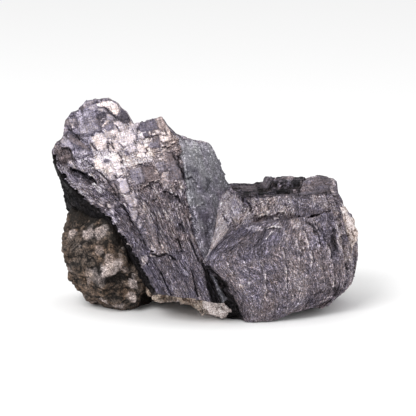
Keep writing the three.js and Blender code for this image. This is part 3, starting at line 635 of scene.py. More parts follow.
# the rounded, fibrous front under the shelf
BULGE_FRONT = cleaved(
    swell=3.4, cleavage=0.25, bright=0.05, warm=0.05,
    ledges=[
        ledge((62, 685), (110, 742), (176, 792), (248, 817), (327, 817), drop=0.8, gap=0.7, dark=0.8),
        ledge((100, 767), (168, 824), (251, 862), (351, 872), (454, 866), drop=0.6, gap=0.5, lip=0.3),
        ledge((93, 655), (174, 714), (270, 739), (376, 727), (486, 696), drop=0.4, dark=0.3, lip=0.4),
        ledge((121, 603), (208, 655), (311, 657), (426, 619), drop=0.3, gap=0.35, dark=0.25, lip=0.3),
        ledge((168, 928), (251, 923), (371, 907), drop=0.5, gap=1.2, dark=0.7),
        ledge((232, 1022), (472, 1160), (505, 998), (635, 983), drop=0.6, gap=0.5),
        ledge((443, 1022), (525, 1053), (612, 1081), drop=0.4, gap=1.3, dark=0.9),
        ledge((79, 498), (72, 417), (73, 341), drop=0.5, gap=0.5, lip=1.2),
        ledge((98, 439), (123, 419), (151, 409), drop=0.3, dark=0.3, lip=1),
        ledge((171, 401), (204, 375), (215, 349), drop=0.3, dark=0.3, lip=0.8),
        ledge((93, 247), (116, 209), (130, 166), drop=0.3, gap=0.5, lip=0.5),
        ledge((117, 343), (159, 337), (191, 306), gap=0.6, dark=0.6),
        ledge((68, 5), (103, 2), (159, 8), gap=0.3, dark=0.2, lip=0.8),
        ledge((191, 220), (305, 272), (442, 238), (603, 188), drop=0.3, gap=0.35, dark=0.3, lip=0.3),
        ledge((190, 120), (305, 171), (460, 123), drop=0.3, gap=0.35, dark=0.3, lip=0.3),
        ledge((274, 388), (410, 367), (576, 320), (732, 279), drop=0.3, gap=0.35, dark=0.3, lip=0.35),
        ledge((222, 537), (348, 544), (503, 503), (668, 459), drop=0.3, gap=0.35, dark=0.3, lip=0.35),
        ledge((430, 782), (573, 786), (733, 780), drop=0.4, gap=0.5, lip=0.2),
        ledge((458, 882), (558, 875), (690, 865), drop=0.4, gap=0.5, lip=0.2),
    ],
    patches=[
        patch((-20, 100), (-12, 186), (50, 246), (36, 163), bright=0.5, warm=-0.4, polish=0.1, soft=0.6),
        patch((10, 176), (27, 282), (78, 327), (63, 239), bright=0.3, warm=-0.7, polish=0.3, soft=0.5),
        patch((83, 180), (96, 266), (163, 316), (158, 246), bright=-0.4, warm=-0.4, polish=0.1, soft=0.8),
        patch((156, 320), (165, 369), (221, 379), (212, 335), bright=-0.3, warm=-0.5, polish=0.3, soft=0.8),
        patch((182, 1000), (155, 1000), (376, 1050), (507, 996), (473, 931), bright=0.16, warm=-0.4,
              rise=0.3, soft=0.4),
        patch((205, -26), (167, 17), (199, 83), (257, 75), (254, 13), bright=0.1, warm=-0.9, polish=0.4,
              soft=0.8),
        patch((36, 543), (52, 638), (112, 675), (111, 593), bright=0.26, polish=0, soft=0.8),
        patch((34, 479), (44, 546), (92, 571), (81, 507), bright=-0.1, polish=0, soft=0.8),
    ],
    zones=[
        zone((-0.1, 0.3), (-0.1, 0.3), lean=0.4, rise=-0.7, bright=-0.24, warm=-0.55, polish=-0.1,
             contrast=0.3, soft=0.02),
        zone((0.07, 0.2), (0.36, 0.5), rise=-0.5, bright=-0.14, warm=-0.3, soft=0.03),
        zone((0.02, 0.3), (0.82, 0.87), bright=-0.1, warm=-0.4, contrast=0.4),
        zone((0.02, 0.42), (0.885, 0.935), rise=-0.8, bright=-0.3, warm=-0.1, contrast=0.3),
        zone((-0.1, 0.42), (0.935, 0.975), rise=0.3, bright=0.15, warm=-0.2),
        zone((-0.1, 0.5), (0.975, 1.1), bright=0.25, warm=0.2),
        zone((-0.1, 0.13), (0.95, 1.1), rise=-4, soft=0.012),
        # the undercut left edge, sunk and painted near-black as shade
        zone((0.29, 0.6), (-0.1, 0.045), rise=-1.6, bright=-0.95, soft=0.012),
        zone((0.6, 1.1), (-0.1, 0.03), rise=-1, bright=-0.95, soft=0.012),
        zone((0.5, 0.95), (0.045, 0.09), lean=-0.02, rise=-0.5, bright=-0.35, soft=0.03),
        zone((0.42, 0.8), (0.5, 0.62), bright=0.1, warm=0.1, soft=0.05),
        zone((0.7, 1.1), (0.62, 1.1), bright=-0.2, contrast=0.2, cleavage=0.6, lamella=0.2, soft=0.03),
    ],
)

# the side in the cleft beside the crystal, painted near-black as shade and paler at the top
BULGE_LEFT = cleaved(
    cleavage=0.6, lamella=0.6, bright=-0.95, contrast=0.35,
    zones=[
        zone((-0.1, 0.28), (-0.1, 1.1), bright=0.7),
        zone((0.55, 1.1), (0.14, 1.1), rise=5.5, soft=0.05),
    ],
)

BULGE_RIGHT = cleaved(
    swell=1, cleavage=0.8, lamella=0.6, ragged=1.4, bright=0.12, warm=0.05, contrast=0.45,
    zones=[
        zone((0.1, 0.45), (0.3, 0.7), rise=-0.8),
        zone((0.45, 0.7), (0.2, 1.1), bright=-0.35),
    ],
)

BULGE_TOP = cleaved(
    cleavage=0.6, ragged=1.4, bright=-0.1, contrast=0.5,
)

BULGE_BACK = cleaved(
    swell=2, cleavage=1.2, ragged=1.4, bright=-0.1,
)

BULGE_BOTTOM = cleaved(
    swell=0.6, cleavage=0.4, lamella=0.3, ragged=1.4, bright=-0.4,
    zones=[
        zone((0.5, 0.9), (-0.1, 0.5), rise=-1.8, soft=0.12),
    ],
)

# ---- the matrix ------------------------------------------------------------------------------------------
# A lump is a ball cut to flat facets, each a direction and the distance at which it cuts, with rounded blebs.


def bleb(towards, rise, width, quartz=0.0, bright=0.0, warm=0.0):
    """A rounded rise in millimetres on a lump: its direction, its angular width in radians and its change of
    tone."""
    return {"towards": towards, "rise": rise, "width": width,
            "tones": {"quartz": quartz, "bright": bright, "warm": warm}}


def broken_rock(relief, bright, warm, quartz, pale=0.0, specks=0.3, swell=0.0):
    """The look of broken rock: the height of its relief and of its rounded swell in millimetres, its tones,
    the share of quartz in its spots and all over (`pale`), and the strength of its dark specks."""
    return {"relief": relief, "bright": bright, "warm": warm, "quartz": quartz, "pale": pale,
            "specks": specks, "swell": swell}


LOBE = {
    "centre": (-40, 6, 19),
    "radius": 26,
    "seed": 5,
    "facets": [
        ((-0.98, 0, -0.2), 15.4), ((-0.9, 0, 0.44), 20.8), ((-0.75, -0.5, 0.75), 19),
        ((-0.35, -1, 0.35), 19), ((0.35, -1, -0.15), 18), ((0.75, -0.8, 0.3), 18.5),
        ((-0.7, -0.9, -0.45), 17), ((-0.9, -0.2, -0.75), 16.6), ((-0.35, -0.55, -1), 17.8),
        ((0.3, -0.8, -0.95), 21), ((0.9, -0.4, -0.5), 21), ((1, 0.1, 0.1), 19.5), ((-0.2, 1, 0.1), 20),
        ((-0.8, 0.8, 0.3), 19.5), ((0.1, 0.1, 1), 24), ((-0.3, -0.6, 1), 24),
    ],
    "blebs": [
        # pale lumps along the brow, the clefts between them painted dark as shade, and the painted shadow
        # under them
        bleb((-0.66, -0.37, 0.66), 0.9, 0.15, quartz=0.26, bright=0.15),
        bleb((-0.33, -0.65, 0.69), 1.1, 0.17, quartz=0.25, bright=0.15),
        bleb((-0.05, -0.72, 0.69), 0.9, 0.14, quartz=0.22, bright=0.1),
        bleb((-0.2, -0.72, 0.62), -1.2, 0.07, bright=-0.7),
        bleb((-0.5, -0.55, 0.62), -0.8, 0.06, bright=-0.5),
        bleb((-0.45, -0.7, 0.52), -0.7, 0.08, bright=-0.5),
        bleb((-0.3, -0.78, 0.5), -0.7, 0.08, bright=-0.5),
        bleb((-0.97, -0.2, 0.22), 1.5, 0.16, quartz=0.19, bright=0.3),
        # brown ridges, a smooth brown cheek, and a hollow painted dark as shade
        bleb((-0.1, -0.91, 0.39), 0.8, 0.1, quartz=0.12, bright=0.3),
        bleb((0.11, -0.93, 0.36), 0.5, 0.12, bright=0.2), bleb((-0.22, -0.86, 0.3), 0.5, 0.08, bright=0.25),
        bleb((-0.02, -0.92, 0.3), -0.9, 0.06, bright=-0.6),
        bleb((-0.48, -0.86, -0.14), 1, 0.3, bright=0.15, warm=0.4),
        bleb((-0.1, -0.99, 0.05), -1.4, 0.14, bright=-0.7),
        # quartz, a grey facet, and the crevice beneath them painted dark as shade
        bleb((0.05, -0.99, 0), 1.6, 0.15, quartz=0.34, bright=0.3),
        bleb((0.16, -0.98, 0.04), 1.7, 0.17, quartz=0.34, bright=0.25),
        bleb((0.28, -0.95, 0.12), 1.2, 0.14, quartz=0.43, bright=0.4),
        bleb((-0.1, -0.97, -0.21), 0.5, 0.16, quartz=0.09, bright=0.1, warm=-0.9),
        bleb((0.06, -0.96, -0.22), -1, 0.09, bright=-0.9),
        bleb((0.22, -0.94, -0.22), -1, 0.09, bright=-0.9), bleb((0.4, -0.88, -0.22), -1, 0.09, bright=-0.9),
        bleb((0.57, -0.8, -0.2), -0.8, 0.1, bright=-0.9),
        bleb((0.57, -0.74, -0.36), 1.2, 0.11, quartz=0.34, bright=0.35),
        bleb((0.5, -0.66, -0.56), 1, 0.11, quartz=0.32, bright=0.2),
        bleb((0.25, -0.58, -0.78), 0.6, 0.12, quartz=0.31, bright=0.3),
        bleb((-0.05, -0.6, -0.8), 0.6, 0.12, quartz=0.25, bright=0.3),
        # the parts in the shadow of the crystal
        bleb((-0.25, -0.42, 0.9), 0, 0.2, bright=-1.4), bleb((0.4, -0.6, 0.85), 0, 0.42, bright=-1.4),
        bleb((0.75, -0.6, 0.45), 0, 0.4, bright=-1.4), bleb((1, -0.4, 0.1), 0, 0.42, bright=-1.4),
        bleb((1, -0.1, -0.7), 0, 0.36, bright=-1.4), bleb((-0.3, 0.1, 1), 0, 0.5, bright=-1.2),
    ],
}

END_PATCH = {
    "centre": (55, 4, 33),
    "radius": 18,
    "seed": 23,
    "facets": [
        ((1, 0, 0.6), 5), ((1, 0, 1), 6.9), ((1, 0, -0.3), 5.6), ((0.5, -1, 0.1), 14.5),
        ((0.1, -0.3, 1), 13.6), ((-0.5, -1, 0), 11), ((-0.2, 0.4, 1), 9), ((0.2, 0.2, -1), 10),
        ((-1, 0, 0), 8), ((0.4, 1, 0), 16),
    ],
    "blebs": [
        bleb((0.15, -0.75, 0.65), 0.7, 0.3, quartz=1), bleb((0.1, -0.3, 1), 0.3, 0.3, quartz=1),
        bleb((0.12, -0.95, 0.3), 0.5, 0.25, quartz=1), bleb((1, -0.2, -0.3), 1, 0.25, quartz=1),
        bleb((0.8, 0.4, 0.5), 1, 0.3, quartz=1), bleb((0.18, -0.97, 0.2), -0.6, 0.12, bright=-0.6, warm=1),
    ],
}

NODULE = {
    "centre": (3.5, -13, 5.5),
    "radius": 10,
    "seed": 47,
    "facets": [
        ((-0.3, -1, 0.2), 7.5), ((0.5, -1, 0.4), 8), ((-1, -0.6, 0), 6.4), ((0, -0.4, 1), 5),
        ((1, -0.2, 0), 7.5), ((0.2, -0.8, -1), 6), ((-0.7, -0.5, -1), 4.6),
    ],
    "blebs": [
        bleb((-0.2, -1, 0.3), 0.8, 0.4, quartz=1), bleb((0.6, -1, -0.3), 0.8, 0.4, quartz=1),
        bleb((-1, -1, 0), 0, 0.25, bright=-0.6, warm=0.6), bleb((0.2, -0.7, -1), 0.5, 0.3, bright=-0.3),
    ],
}

LOBE_ROCK = broken_rock(relief=1.3, bright=-0.38, warm=0.35, quartz=0.15, specks=0.4)
PALE_ROCK = broken_rock(relief=1.1, bright=0.5, warm=0.6, quartz=1.1, pale=0.55, specks=1.1)
SEAM_ROCK = broken_rock(relief=2.2, bright=0.62, warm=0.25, quartz=1, pale=0.1, specks=1.2, swell=1.6)
NODULE_ROCK = broken_rock(relief=1.7, bright=0.9, warm=-0.6, quartz=1.3, pale=0.65, specks=1.2)
BACK_ROCK = broken_rock(relief=1.8, bright=-0.05, warm=0.15, quartz=0.5, swell=3)


# ---- repeatable noise ------------------------------------------------------------------------------------

def lattice(i, j, seed):
    """Repeatable number 0..1 for each whole-number point (i, j): the fraction of a large sine."""
    value = np.sin(i * 127.1 + j * 311.7 + seed * 74.7) * 43758.5453
    return value - np.floor(value)


def smooth_noise(u, v, seed):
    """Noise -1..1 over the plane: lattice numbers blended with the curve 3t^2 - 2t^3 between whole points."""
    i, j = np.floor(u), np.floor(v)
    s, t = u - i, v - j
    s, t = s * s * (3 - 2 * s), t * t * (3 - 2 * t)
    near = lattice(i, j, seed) * (1 - s) + lattice(i + 1, j, seed) * s
    far = lattice(i, j + 1, seed) * (1 - s) + lattice(i + 1, j + 1, seed) * s
    return 2 * (near * (1 - t) + far * t) - 1


def bricks(across, down, size, seed):
    """Broken cleavage: columns of about the brick's width, each cut into bricks of about its height that
    start at their own place. Returns a number 0..1 for each brick, the share 0..1 across its column, and the
    distance in millimetres to the nearest joint."""
    width, height = size
    place = across / width + 0.32 * np.sin(1.7 * across / width + seed)
    column = np.floor(place)
    stretch = 0.7 + 0.6 * lattice(column, 3, seed)
    level = down / height * stretch + 9 * lattice(column, 0, seed)
    row = np.floor(level)
    lean = place - column
    edge = np.minimum(np.minimum(lean, 1 - lean) * width, np.minimum(level - row, row + 1 - level) * height)
    return lattice(column, row, seed + 1), lean, edge


def ramp(x, start, end):
    """0 below start, 1 above end, and the curve 3t^2 - 2t^3 between."""
    t = np.clip((x - start) / (end - start), 0, 1)
    return t * t * (3 - 2 * t)


def band(x, start, full, fade, end):
    """1 from full to fade, 0 outside start..end, and ramps between."""
    return ramp(x, start, full) * (1 - ramp(x, fade, end))


# ---- relief of a face ------------------------------------------------------------------------------------

def line_distance(corners, down, across):
    """Distance of each point from a line through corners, its side (1 on the right of a line drawn downwards)
    and the share 0..1 of the line's length at which it comes nearest."""
    runs = corners[1:] - corners[:-1]
    lengths = np.hypot(runs[:, 0], runs[:, 1])
    passed = np.concatenate([[0], np.cumsum(lengths)])
    away_down = down[:, None] - corners[:-1, 0]
    away_across = across[:, None] - corners[:-1, 1]
    along = np.clip((away_down * runs[:, 0] + away_across * runs[:, 1]) / lengths ** 2, 0, 1)
    distance = np.hypot(away_down - along * runs[:, 0], away_across - along * runs[:, 1])
    nearest = np.argmin(distance, axis=1)
    rows = np.arange(len(down))
    turn = (runs[:, 0] * away_across - runs[:, 1] * away_down)[rows, nearest]
    share = (passed[nearest] + along[rows, nearest] * lengths[nearest]) / passed[-1]
    return distance[rows, nearest], np.where(turn > 0, 1.0, 0.0), share


def add_ledges(face, down, across, lengths, rise, bright):
    """Lowers the face beside each ledge and paints the shade at its foot and a highlight on its lip, a
    millimetre wide. All of it fades out over the first and last `fade` of the ledge's length."""
    fade = 0.12
    for edge in face["ledges"]:
        distance, right, share = line_distance(edge["line"] * lengths, down, across)
        whole = band(share, 0, fade, 1 - fade, 1)
        foot = (1 - ramp(distance, 0.3 * edge["gap"], edge["gap"] * (0.75 + 0.3 * right))) * whole
        slope = whole * edge["drop"] * right * (1 - ramp(distance, 0, edge["reach"]))
        rise = rise - slope - 0.5 * edge["gap"] * foot
        lip = (1 - ramp(distance, 0.3, 1.0)) * (1 - right) * whole
        # painted shade in the gap at the foot and a painted highlight on the lip
        bright = bright * (1 - foot) - edge["dark"] * foot + edge["lip"] * lip * (1 - foot)
    return rise, bright


def zone_mask(place, down, across):
    """1 inside a zone, 0 outside: the product of two bands, with ramps as wide as twice its softness."""
    soft = place["soft"]
    across = across - place["lean"] * (down - place["down"][0])
    inside = 1.0
    for share, (low, high) in ((down, place["down"]), (across, place["across"])):
        inside = inside * band(share, low - soft, low + soft, high - soft, high + soft)
    return inside


def patch_depth(corners, down, across):
    """Distance in millimetres inside a convex outline, the least of the distances from its sides, and how far
    the nearest side faces up and left: 1 fully, -1 the opposite way."""
    ahead = np.roll(corners, -1, axis=0)
    turn = math.copysign(1, np.sum(corners[:, 0] * ahead[:, 1] - corners[:, 1] * ahead[:, 0]))
    depth = np.full(len(down), 1e9)
    lit = np.zeros(len(down))
    for start, end in zip(corners, ahead):
        run = (end - start) * turn / np.linalg.norm(end - start)
        inside = run[0] * (across - start[1]) - run[1] * (down - start[0])
        lit = np.where(inside < depth, FROM_LEFT * run[0] - FROM_ABOVE * run[1], lit)
        depth = np.minimum(depth, inside)
    return depth, lit


def add_patches(face, down, across, lengths, speckle, rise, total):
    """Raises each plate, gives it its own tones, and paints its lit rim and the shadow at the foot around it.
    Both are crisper on plates with hard edges and on pale ones, and `speckle` breaks them up."""
    for plate in face["patches"]:
        depth, lit = patch_depth(plate["corners"] * lengths, down, across)
        soft, tones = plate["soft"], plate["tones"]
        mask = ramp(depth, -soft, soft)
        crisp = 0.3 / (0.3 + soft) * (0.4 + 0.6 * speckle) * np.clip(0.7 + tones["bright"], 0.1, 1)
        rim = band(depth, *LIT_RIM) * crisp
        foot = band(depth, *FOOT_SHADE) * crisp
        rise = rise + plate["rise"] * mask
        for key, value in tones.items():
            total[key] = total[key] * (1 - mask) + value * mask
        # painted light on the rim that faces up and left, painted shadow on the other rim and the foot
        total["bright"] = total["bright"] + 0.42 * lit * rim - (0.45 - 0.5 * lit) * foot
    return rise


def face_relief(face, down, across, lengths, seed):
    """Height in millimetres and the tones of a face. The height is a rounded swell, plus the zones' rises,
    plus three sizes of bricks (each half as high as the last) and two widths of long ridges that run down,
    which the patches and the ledges then raise and lower. High bricks and ridges are paler than low ones, a
    random tone per brick that also stands in for painted reflections of the facets, and the joints between
    bricks are dark. The edges of zones, patches and ledges wander with small bricks."""
    down_mm, across_mm = down * lengths[0], across * lengths[1]
    jog, _, _ = bricks(across_mm, down_mm, DOWN_JOG, seed + 11)
    slip, _, _ = bricks(across_mm, down_mm, ACROSS_JOG, seed + 13)
    down_wander = face["ragged"] * (jog - 0.5)
    across_wander = face["ragged"] * (slip - 0.5)
    ragged_down = down + down_wander / lengths[0]
    ragged_across = across + 0.7 * across_wander / lengths[1]

    total = {key: face[key] for key in ("cleavage", "lamella", "bright", "warm", "polish", "contrast")}
    rise = 16 * face["swell"] * down * (1 - down) * across * (1 - across)
    for place in face["zones"]:
        mask = zone_mask(place, ragged_down, ragged_across)
        rise = rise + place["rise"] * mask
        for key, amount in place["amounts"].items():
            total[key] = total[key] + amount * mask
    large, _, large_edge = bricks(across_mm, down_mm, LARGE_BRICK, seed + 1)
    medium, lean, medium_edge = bricks(across_mm, down_mm, MEDIUM_BRICK, seed + 2)
    small, _, _ = bricks(across_mm, down_mm, SMALL_BRICK, seed + 3)
    wide, tooth, _ = bricks(across_mm, down_mm, WIDE_RIDGE, seed + 4)
    thin, _, _ = bricks(across_mm, down_mm, THIN_RIDGE, seed + 5)
    steps = (large - 0.5) + 0.5 * (medium - 0.5) + 0.25 * (small - 0.5) + 0.3 * (0.5 - lean)
    ridges = (wide - 0.5) + 0.5 * (thin - 0.5) + 0.5 * (0.5 - tooth)
    worn = 0.12 * smooth_noise(across_mm / WORN_GRAIN, down_mm / WORN_GRAIN, seed + 6)
    rise = add_patches(face, down_mm + 0.15 * down_wander, across_mm + 0.15 * across_wander, lengths,
                       small > 0.4, rise, total)
    rough = 1 - np.clip(total["polish"], 0, 1)
    height = rise + rough * (total["cleavage"] * steps + total["lamella"] * ridges + worn)

    blocky = np.clip(total["cleavage"], 0, 1.5)
    fibrous = np.clip(total["lamella"], 0, 1)
    facet = blocky * (0.7 * (medium - 0.5) + 0.5 * (large - 0.5) + 0.5 * (small - 0.5))
    facet = facet + fibrous * (0.7 * (thin - 0.5) + 0.25 * (wide - 0.5))
    joint = blocky * (0.45 * (1 - ramp(medium_edge, 0.0, 0.35)) * (medium < 0.6)
                      + 0.6 * (1 - ramp(large_edge, 0.0, 0.4)) * (large < 0.7))
    bright = total["bright"] + total["contrast"] * (facet - joint) * (0.3 + 0.7 * rough)
    height, bright = add_ledges(
        face, ragged_down * lengths[0], ragged_across * lengths[1], lengths, height, bright)
    blotch = smooth_noise(across_mm / WARM_BLOTCH[0], down_mm / WARM_BLOTCH[1], seed + 7)
    warm = total["warm"] + 0.5 * blotch
    tones = {"bright": bright, "warm": warm, "polish": total["polish"], "fibre": fibrous}
    return height, {key: np.broadcast_to(values, down.shape) for key, values in tones.items()}


def rock_noise(points, size, seed):
    """Noise of about -1..1 in space: smooth noise over three slanted planes, added so that no axis shows."""
    x, y, z = (points / size).T
    return (smooth_noise(x + 0.6 * z, y - 0.4 * z, seed) + smooth_noise(y + 0.7 * x, z - 0.3 * x, seed + 1)
            + smooth_noise(z + 0.5 * y, x - 0.6 * y, seed + 2)) / 1.8


def rock_relief(points, rock, seed):
    """Height in millimetres and tones of broken rock at points in space: angular chunks (noise folded at
    zero, so that valleys are sharp), smaller lumps and knobs, and grain. Valleys are painted dark as shade
    and lumps painted paler as lit, quartz shows in spots, and small dark specks are sunk into both."""
    bent = points + 1.6 * np.stack([rock_noise(points, ROCK_BEND, seed + k) for k in (71, 72, 73)], 1)
    chunk = np.abs(rock_noise(bent, ROCK_CHUNK, seed))
    lump = np.abs(rock_noise(bent, ROCK_LUMP, seed + 10))
    knob = np.abs(rock_noise(points, ROCK_KNOB, seed + 20))
    grain = rock_noise(points, ROCK_GRAIN, seed + 25)
    height = rock["relief"] * (1.5 * (chunk - 0.5) + 0.9 * (lump - 0.4) + 0.4 * (knob - 0.4) + 0.12 * grain)
    # painted shade in the valleys
    valley_shade = (0.6 * (1 - ramp(chunk, 0.01, 0.07)) + 0.5 * (1 - ramp(lump, 0.01, 0.1))
              + 0.35 * (1 - ramp(knob, 0.01, 0.2)))
    spots = rock_noise(bent, QUARTZ_SPOT, seed + 30) + 0.5 * rock_noise(points, QUARTZ_GRAIN, seed + 40)
    quartz = ramp(spots, 0.45, 0.75) * rock["quartz"]
    bright = rock["bright"] + 0.25 * rock_noise(points, BRIGHT_BLOTCH, seed + 50)
    bright = bright + 0.35 * rock_noise(points, BRIGHT_GRAIN, seed + 55) + 0.35 * (lump - 0.3) - valley_shade
    warm = rock["warm"] + 0.6 * rock_noise(points, RUST_BLOTCH, seed + 60)
    specks = rock["specks"] * ramp(rock_noise(bent, ROCK_SPECK, seed + 80), 0.1, 0.35)
    quartz = np.maximum(quartz, rock["pale"]) * (1 - 0.8 * specks)
    return height - 0.3 * specks, {"bright": bright - 0.7 * specks, "warm": warm, "quartz": quartz}


# ---- surfaces --------------------------------------------------------------------------------------------

def box_grid(counts):
    """Shares (a, b, c) of every point on a box's surface, and its quads, facing out with shared edges.
    counts are the cells down, across and back."""
    shape = tuple(n + 1 for n in counts)
    shell = np.zeros(shape, bool)
    shell[[0, -1]] = True
    shell[:, [0, -1]] = True
    shell[:, :, [0, -1]] = True
    index = np.full(shape, -1)
    index[shell] = np.arange(shell.sum())
    shares = np.stack(np.nonzero(shell), 1) / np.array(counts, float)
    sides = [
        (index[:, :, 0], False), (index[:, :, -1], True), (index[:, 0, :], True), (index[:, -1, :], False),
        (index[0, :, :], False), (index[-1, :, :], True),
    ]
    quads = []
    for grid, turned in sides:
        ring = [grid[:-1, :-1], grid[1:, :-1], grid[1:, 1:], grid[:-1, 1:]]
        ring = ring[::-1] if turned else ring
        quads.append(np.stack([corner.ravel() for corner in ring], 1))
    return shares, np.concatenate(quads)


def rail_point(rail, share):
    """Points along a rail: a Catmull-Rom curve through its corners, which goes on past both ends."""
    corners = np.array(rail, float)
    corners = np.vstack([2 * corners[0] - corners[1], corners, 2 * corners[-1] - corners[-2]])
    spans = len(rail) - 1
    span = np.clip(np.floor(share * spans), 0, spans - 1).astype(int)
    t = (share * spans - span)[:, None]
    before, start, end, after = (corners[span + k] for k in range(4))
    return start + 0.5 * t * (end - before + t * (2 * before - 5 * start + 4 * end - after
                                                  + t * (3 * (start - end) + after - before)))


def block_point(block, a, b, c):
    """Points of a block in millimetres: front and back lines between their rails, blended front to back."""
    rails = block["rails"]
    b, c = b[:, None], c[:, None]
    front = rail_point(rails["front_left"], a) * (1 - b) + rail_point(rails["front_right"], a) * b
    back = rail_point(rails["back_left"], a) * (1 - b) + rail_point(rails["back_right"], a) * b
    return front * (1 - c) + back * c


def face_normals(block):
    """Outward unit normal of each face: the cross product of the lines through the face's middle."""
    def at(a, b, c):
        return block_point(block, np.array([a]), np.array([b]), np.array([c]))[0]

    def unit(u, v):
        n = np.cross(u, v)
        return n / np.linalg.norm(n)

    def upright(c):
        return unit(at(0.5, 1, c) - at(0.5, 0, c), at(0, 0.5, c) - at(1, 0.5, c))

    def sideways(b):
        return unit(at(0.5, b, 1) - at(0.5, b, 0), at(0, b, 0.5) - at(1, b, 0.5))

    def level(a):
        return unit(at(a, 1, 0.5) - at(a, 0, 0.5), at(a, 0.5, 1) - at(a, 0.5, 0))

    return {"front": upright(0), "back": -upright(1), "right": sideways(1), "left": -sideways(0),
            "top": level(0), "bottom": -level(1)}


def edge_wear(block, a, b, c):
    """Depth in millimetres of the chips along a block's long edges: bricks of two sizes, deepest on the edge
    and fading out away from it."""
    down, across, back = block["lengths"]
    to_side = np.minimum(b, 1 - b) * across
    to_front = np.minimum(c, 1 - c) * back
    near = 1 - ramp(np.hypot(to_side, to_front), 0.3, CHIP_REACH)
    around = c * back + b * across
    chip, _, _ = bricks(around, a * down, EDGE_CHIP, block["seed"] + 80)
    flake, _, _ = bricks(around, a * down, EDGE_FLAKE, block["seed"] + 81)
    return CHIP_DEPTH * near * (chip ** 2 + 0.5 * flake)


def block_surface(block, faces, fineness):
    """A block's closed surface in millimetres: shares mapped between the rails, below the broken crown,
    sagged by the belly, and each face pushed out along its normal by its relief, less the wear of the edges.
    A face's relief fades out below it, so neighbouring faces blend over their common edge."""
    lengths, seed = block["lengths"], block["seed"]
    shares, quads = box_grid([max(4, round(length / (step * fineness)))
                              for length, step in zip(lengths, block["spacing"])])
    level, b, c = shares.T
    crown = np.interp(b, *np.array(block["crown"], float).T)
    back_crown = np.interp(b, *np.array(block.get("back_crown", block["crown"]), float).T)
    crown = crown + (back_crown - crown) * ramp(c, 0, CROWN_DEPTH)
    a = np.where(level < CROWN_REACH, crown + (CROWN_REACH - crown) * level / CROWN_REACH, level)
    points = block_point(block, a, b, c)
    points += np.array(block["belly"]) * (4 * b * (1 - b) * level ** 2 * (1 - c))[:, None]
    base = points.copy()
    normals = face_normals(block)
    pairs = {"front": (a, b, 0, 1), "back": (a, b, 0, 1), "left": (a, c, 0, 2), "right": (a, c, 0, 2),
             "top": (b, c, 1, 2), "bottom": (b, c, 1, 2)}
    depths = {"back": (1 - c) * lengths[2], "bottom": (1 - level) * lengths[0], "left": b * lengths[1],
              "top": level * lengths[0], "right": (1 - b) * lengths[1], "front": c * lengths[2]}
    tones = {}
    grain = np.zeros((len(a), 2))
    worn = edge_wear(block, a, b, c)
    for order, (name, depth) in enumerate(depths.items()):
        down, across, i, j = pairs[name]
        size = (lengths[i], lengths[j])
        recipe = faces[name]
        near = depth < EDGE_REACH
        here = depth == 0
        if "relief" in recipe:
            height, tone = rock_relief(base[near], recipe, seed)
            height = height + 16 * recipe["swell"] * (down * (1 - down) * across * (1 - across))[near]
        else:
            height, tone = face_relief(recipe, down[near], across[near], size, seed + FACE_SEEDS * order)
        weight = 1 - ramp(depth[near], 0, EDGE_REACH)
        points[near] += normals[name] * ((height - worn[near]) * weight)[:, None]
        grain[here] = np.stack([across[here] * size[1], down[here] * size[0]], 1)
        for key, values in tone.items():
            tones.setdefault(key, np.zeros(len(a)))[here] = values[here[near]]
    return points, quads, tones, grain


def lump_surface(lump, rock, spacing):
    """A lump's closed surface in millimetres: a ball cut by flat facets, with Gaussian blebs and rock relief.
    The points lie on a cube grid pushed out to a ball, so they are evenly spread and there are no poles."""
    seed = lump["seed"]
    cells = max(8, round(1.5 * lump["radius"] / spacing))
    shares, quads = box_grid([cells] * 3)
    swung = np.tan((2 * shares - 1) * math.pi / 4)
    direction = np.stack([swung[:, 1], swung[:, 2], -swung[:, 0]], 1)
    direction /= np.linalg.norm(direction, axis=1, keepdims=True)
    reach = np.full(len(direction), float(lump["radius"]))
    for towards, distance in lump["facets"]:
        normal = np.array(towards) / np.linalg.norm(towards)
        reach = np.minimum(reach, distance / np.maximum(direction @ normal, 1e-6))
    ball = direction * BALL_RADIUS
    ragged = 1 + 0.5 * rock_noise(ball, BLEB_RAG, seed + 90) + 0.35 * rock_noise(ball, BLEB_FRAY, seed + 93)
    quartz, bright, warm = np.zeros((3, len(direction)))
    for spot in lump["blebs"]:
        normal = np.array(spot["towards"]) / np.linalg.norm(spot["towards"])
        angle = np.arccos(np.clip(direction @ normal, -1, 1))
        bump = np.exp(-(angle / spot["width"]) ** 2)
        reach = reach + spot["rise"] * bump
        patchy = bump * ragged
        tones = spot["tones"]
        quartz = np.maximum(quartz, tones["quartz"] * ramp(patchy, 0.3, 0.7))
        bright = bright + tones["bright"] * ramp(patchy, 0.25, 0.6)
        warm = warm + tones["warm"] * ramp(patchy, 0.15, 0.7)
    points = np.array(lump["centre"], float) + direction * reach[:, None]
    height, tones = rock_relief(points, rock, seed)
    points += direction * height[:, None]
    tones["quartz"] = np.maximum(tones["quartz"], quartz)
    tones["bright"] = tones["bright"] + bright
    tones["warm"] = tones["warm"] + warm
    return points, quads, tones, points[:, :2].copy()


def keep_in_box(points, low, high):
    """Clamps points to the solids' box, which also flattens what would reach below the resting plane."""
    return np.clip(points, np.array(low) + CAD_MARGIN, np.array(high) - CAD_MARGIN)


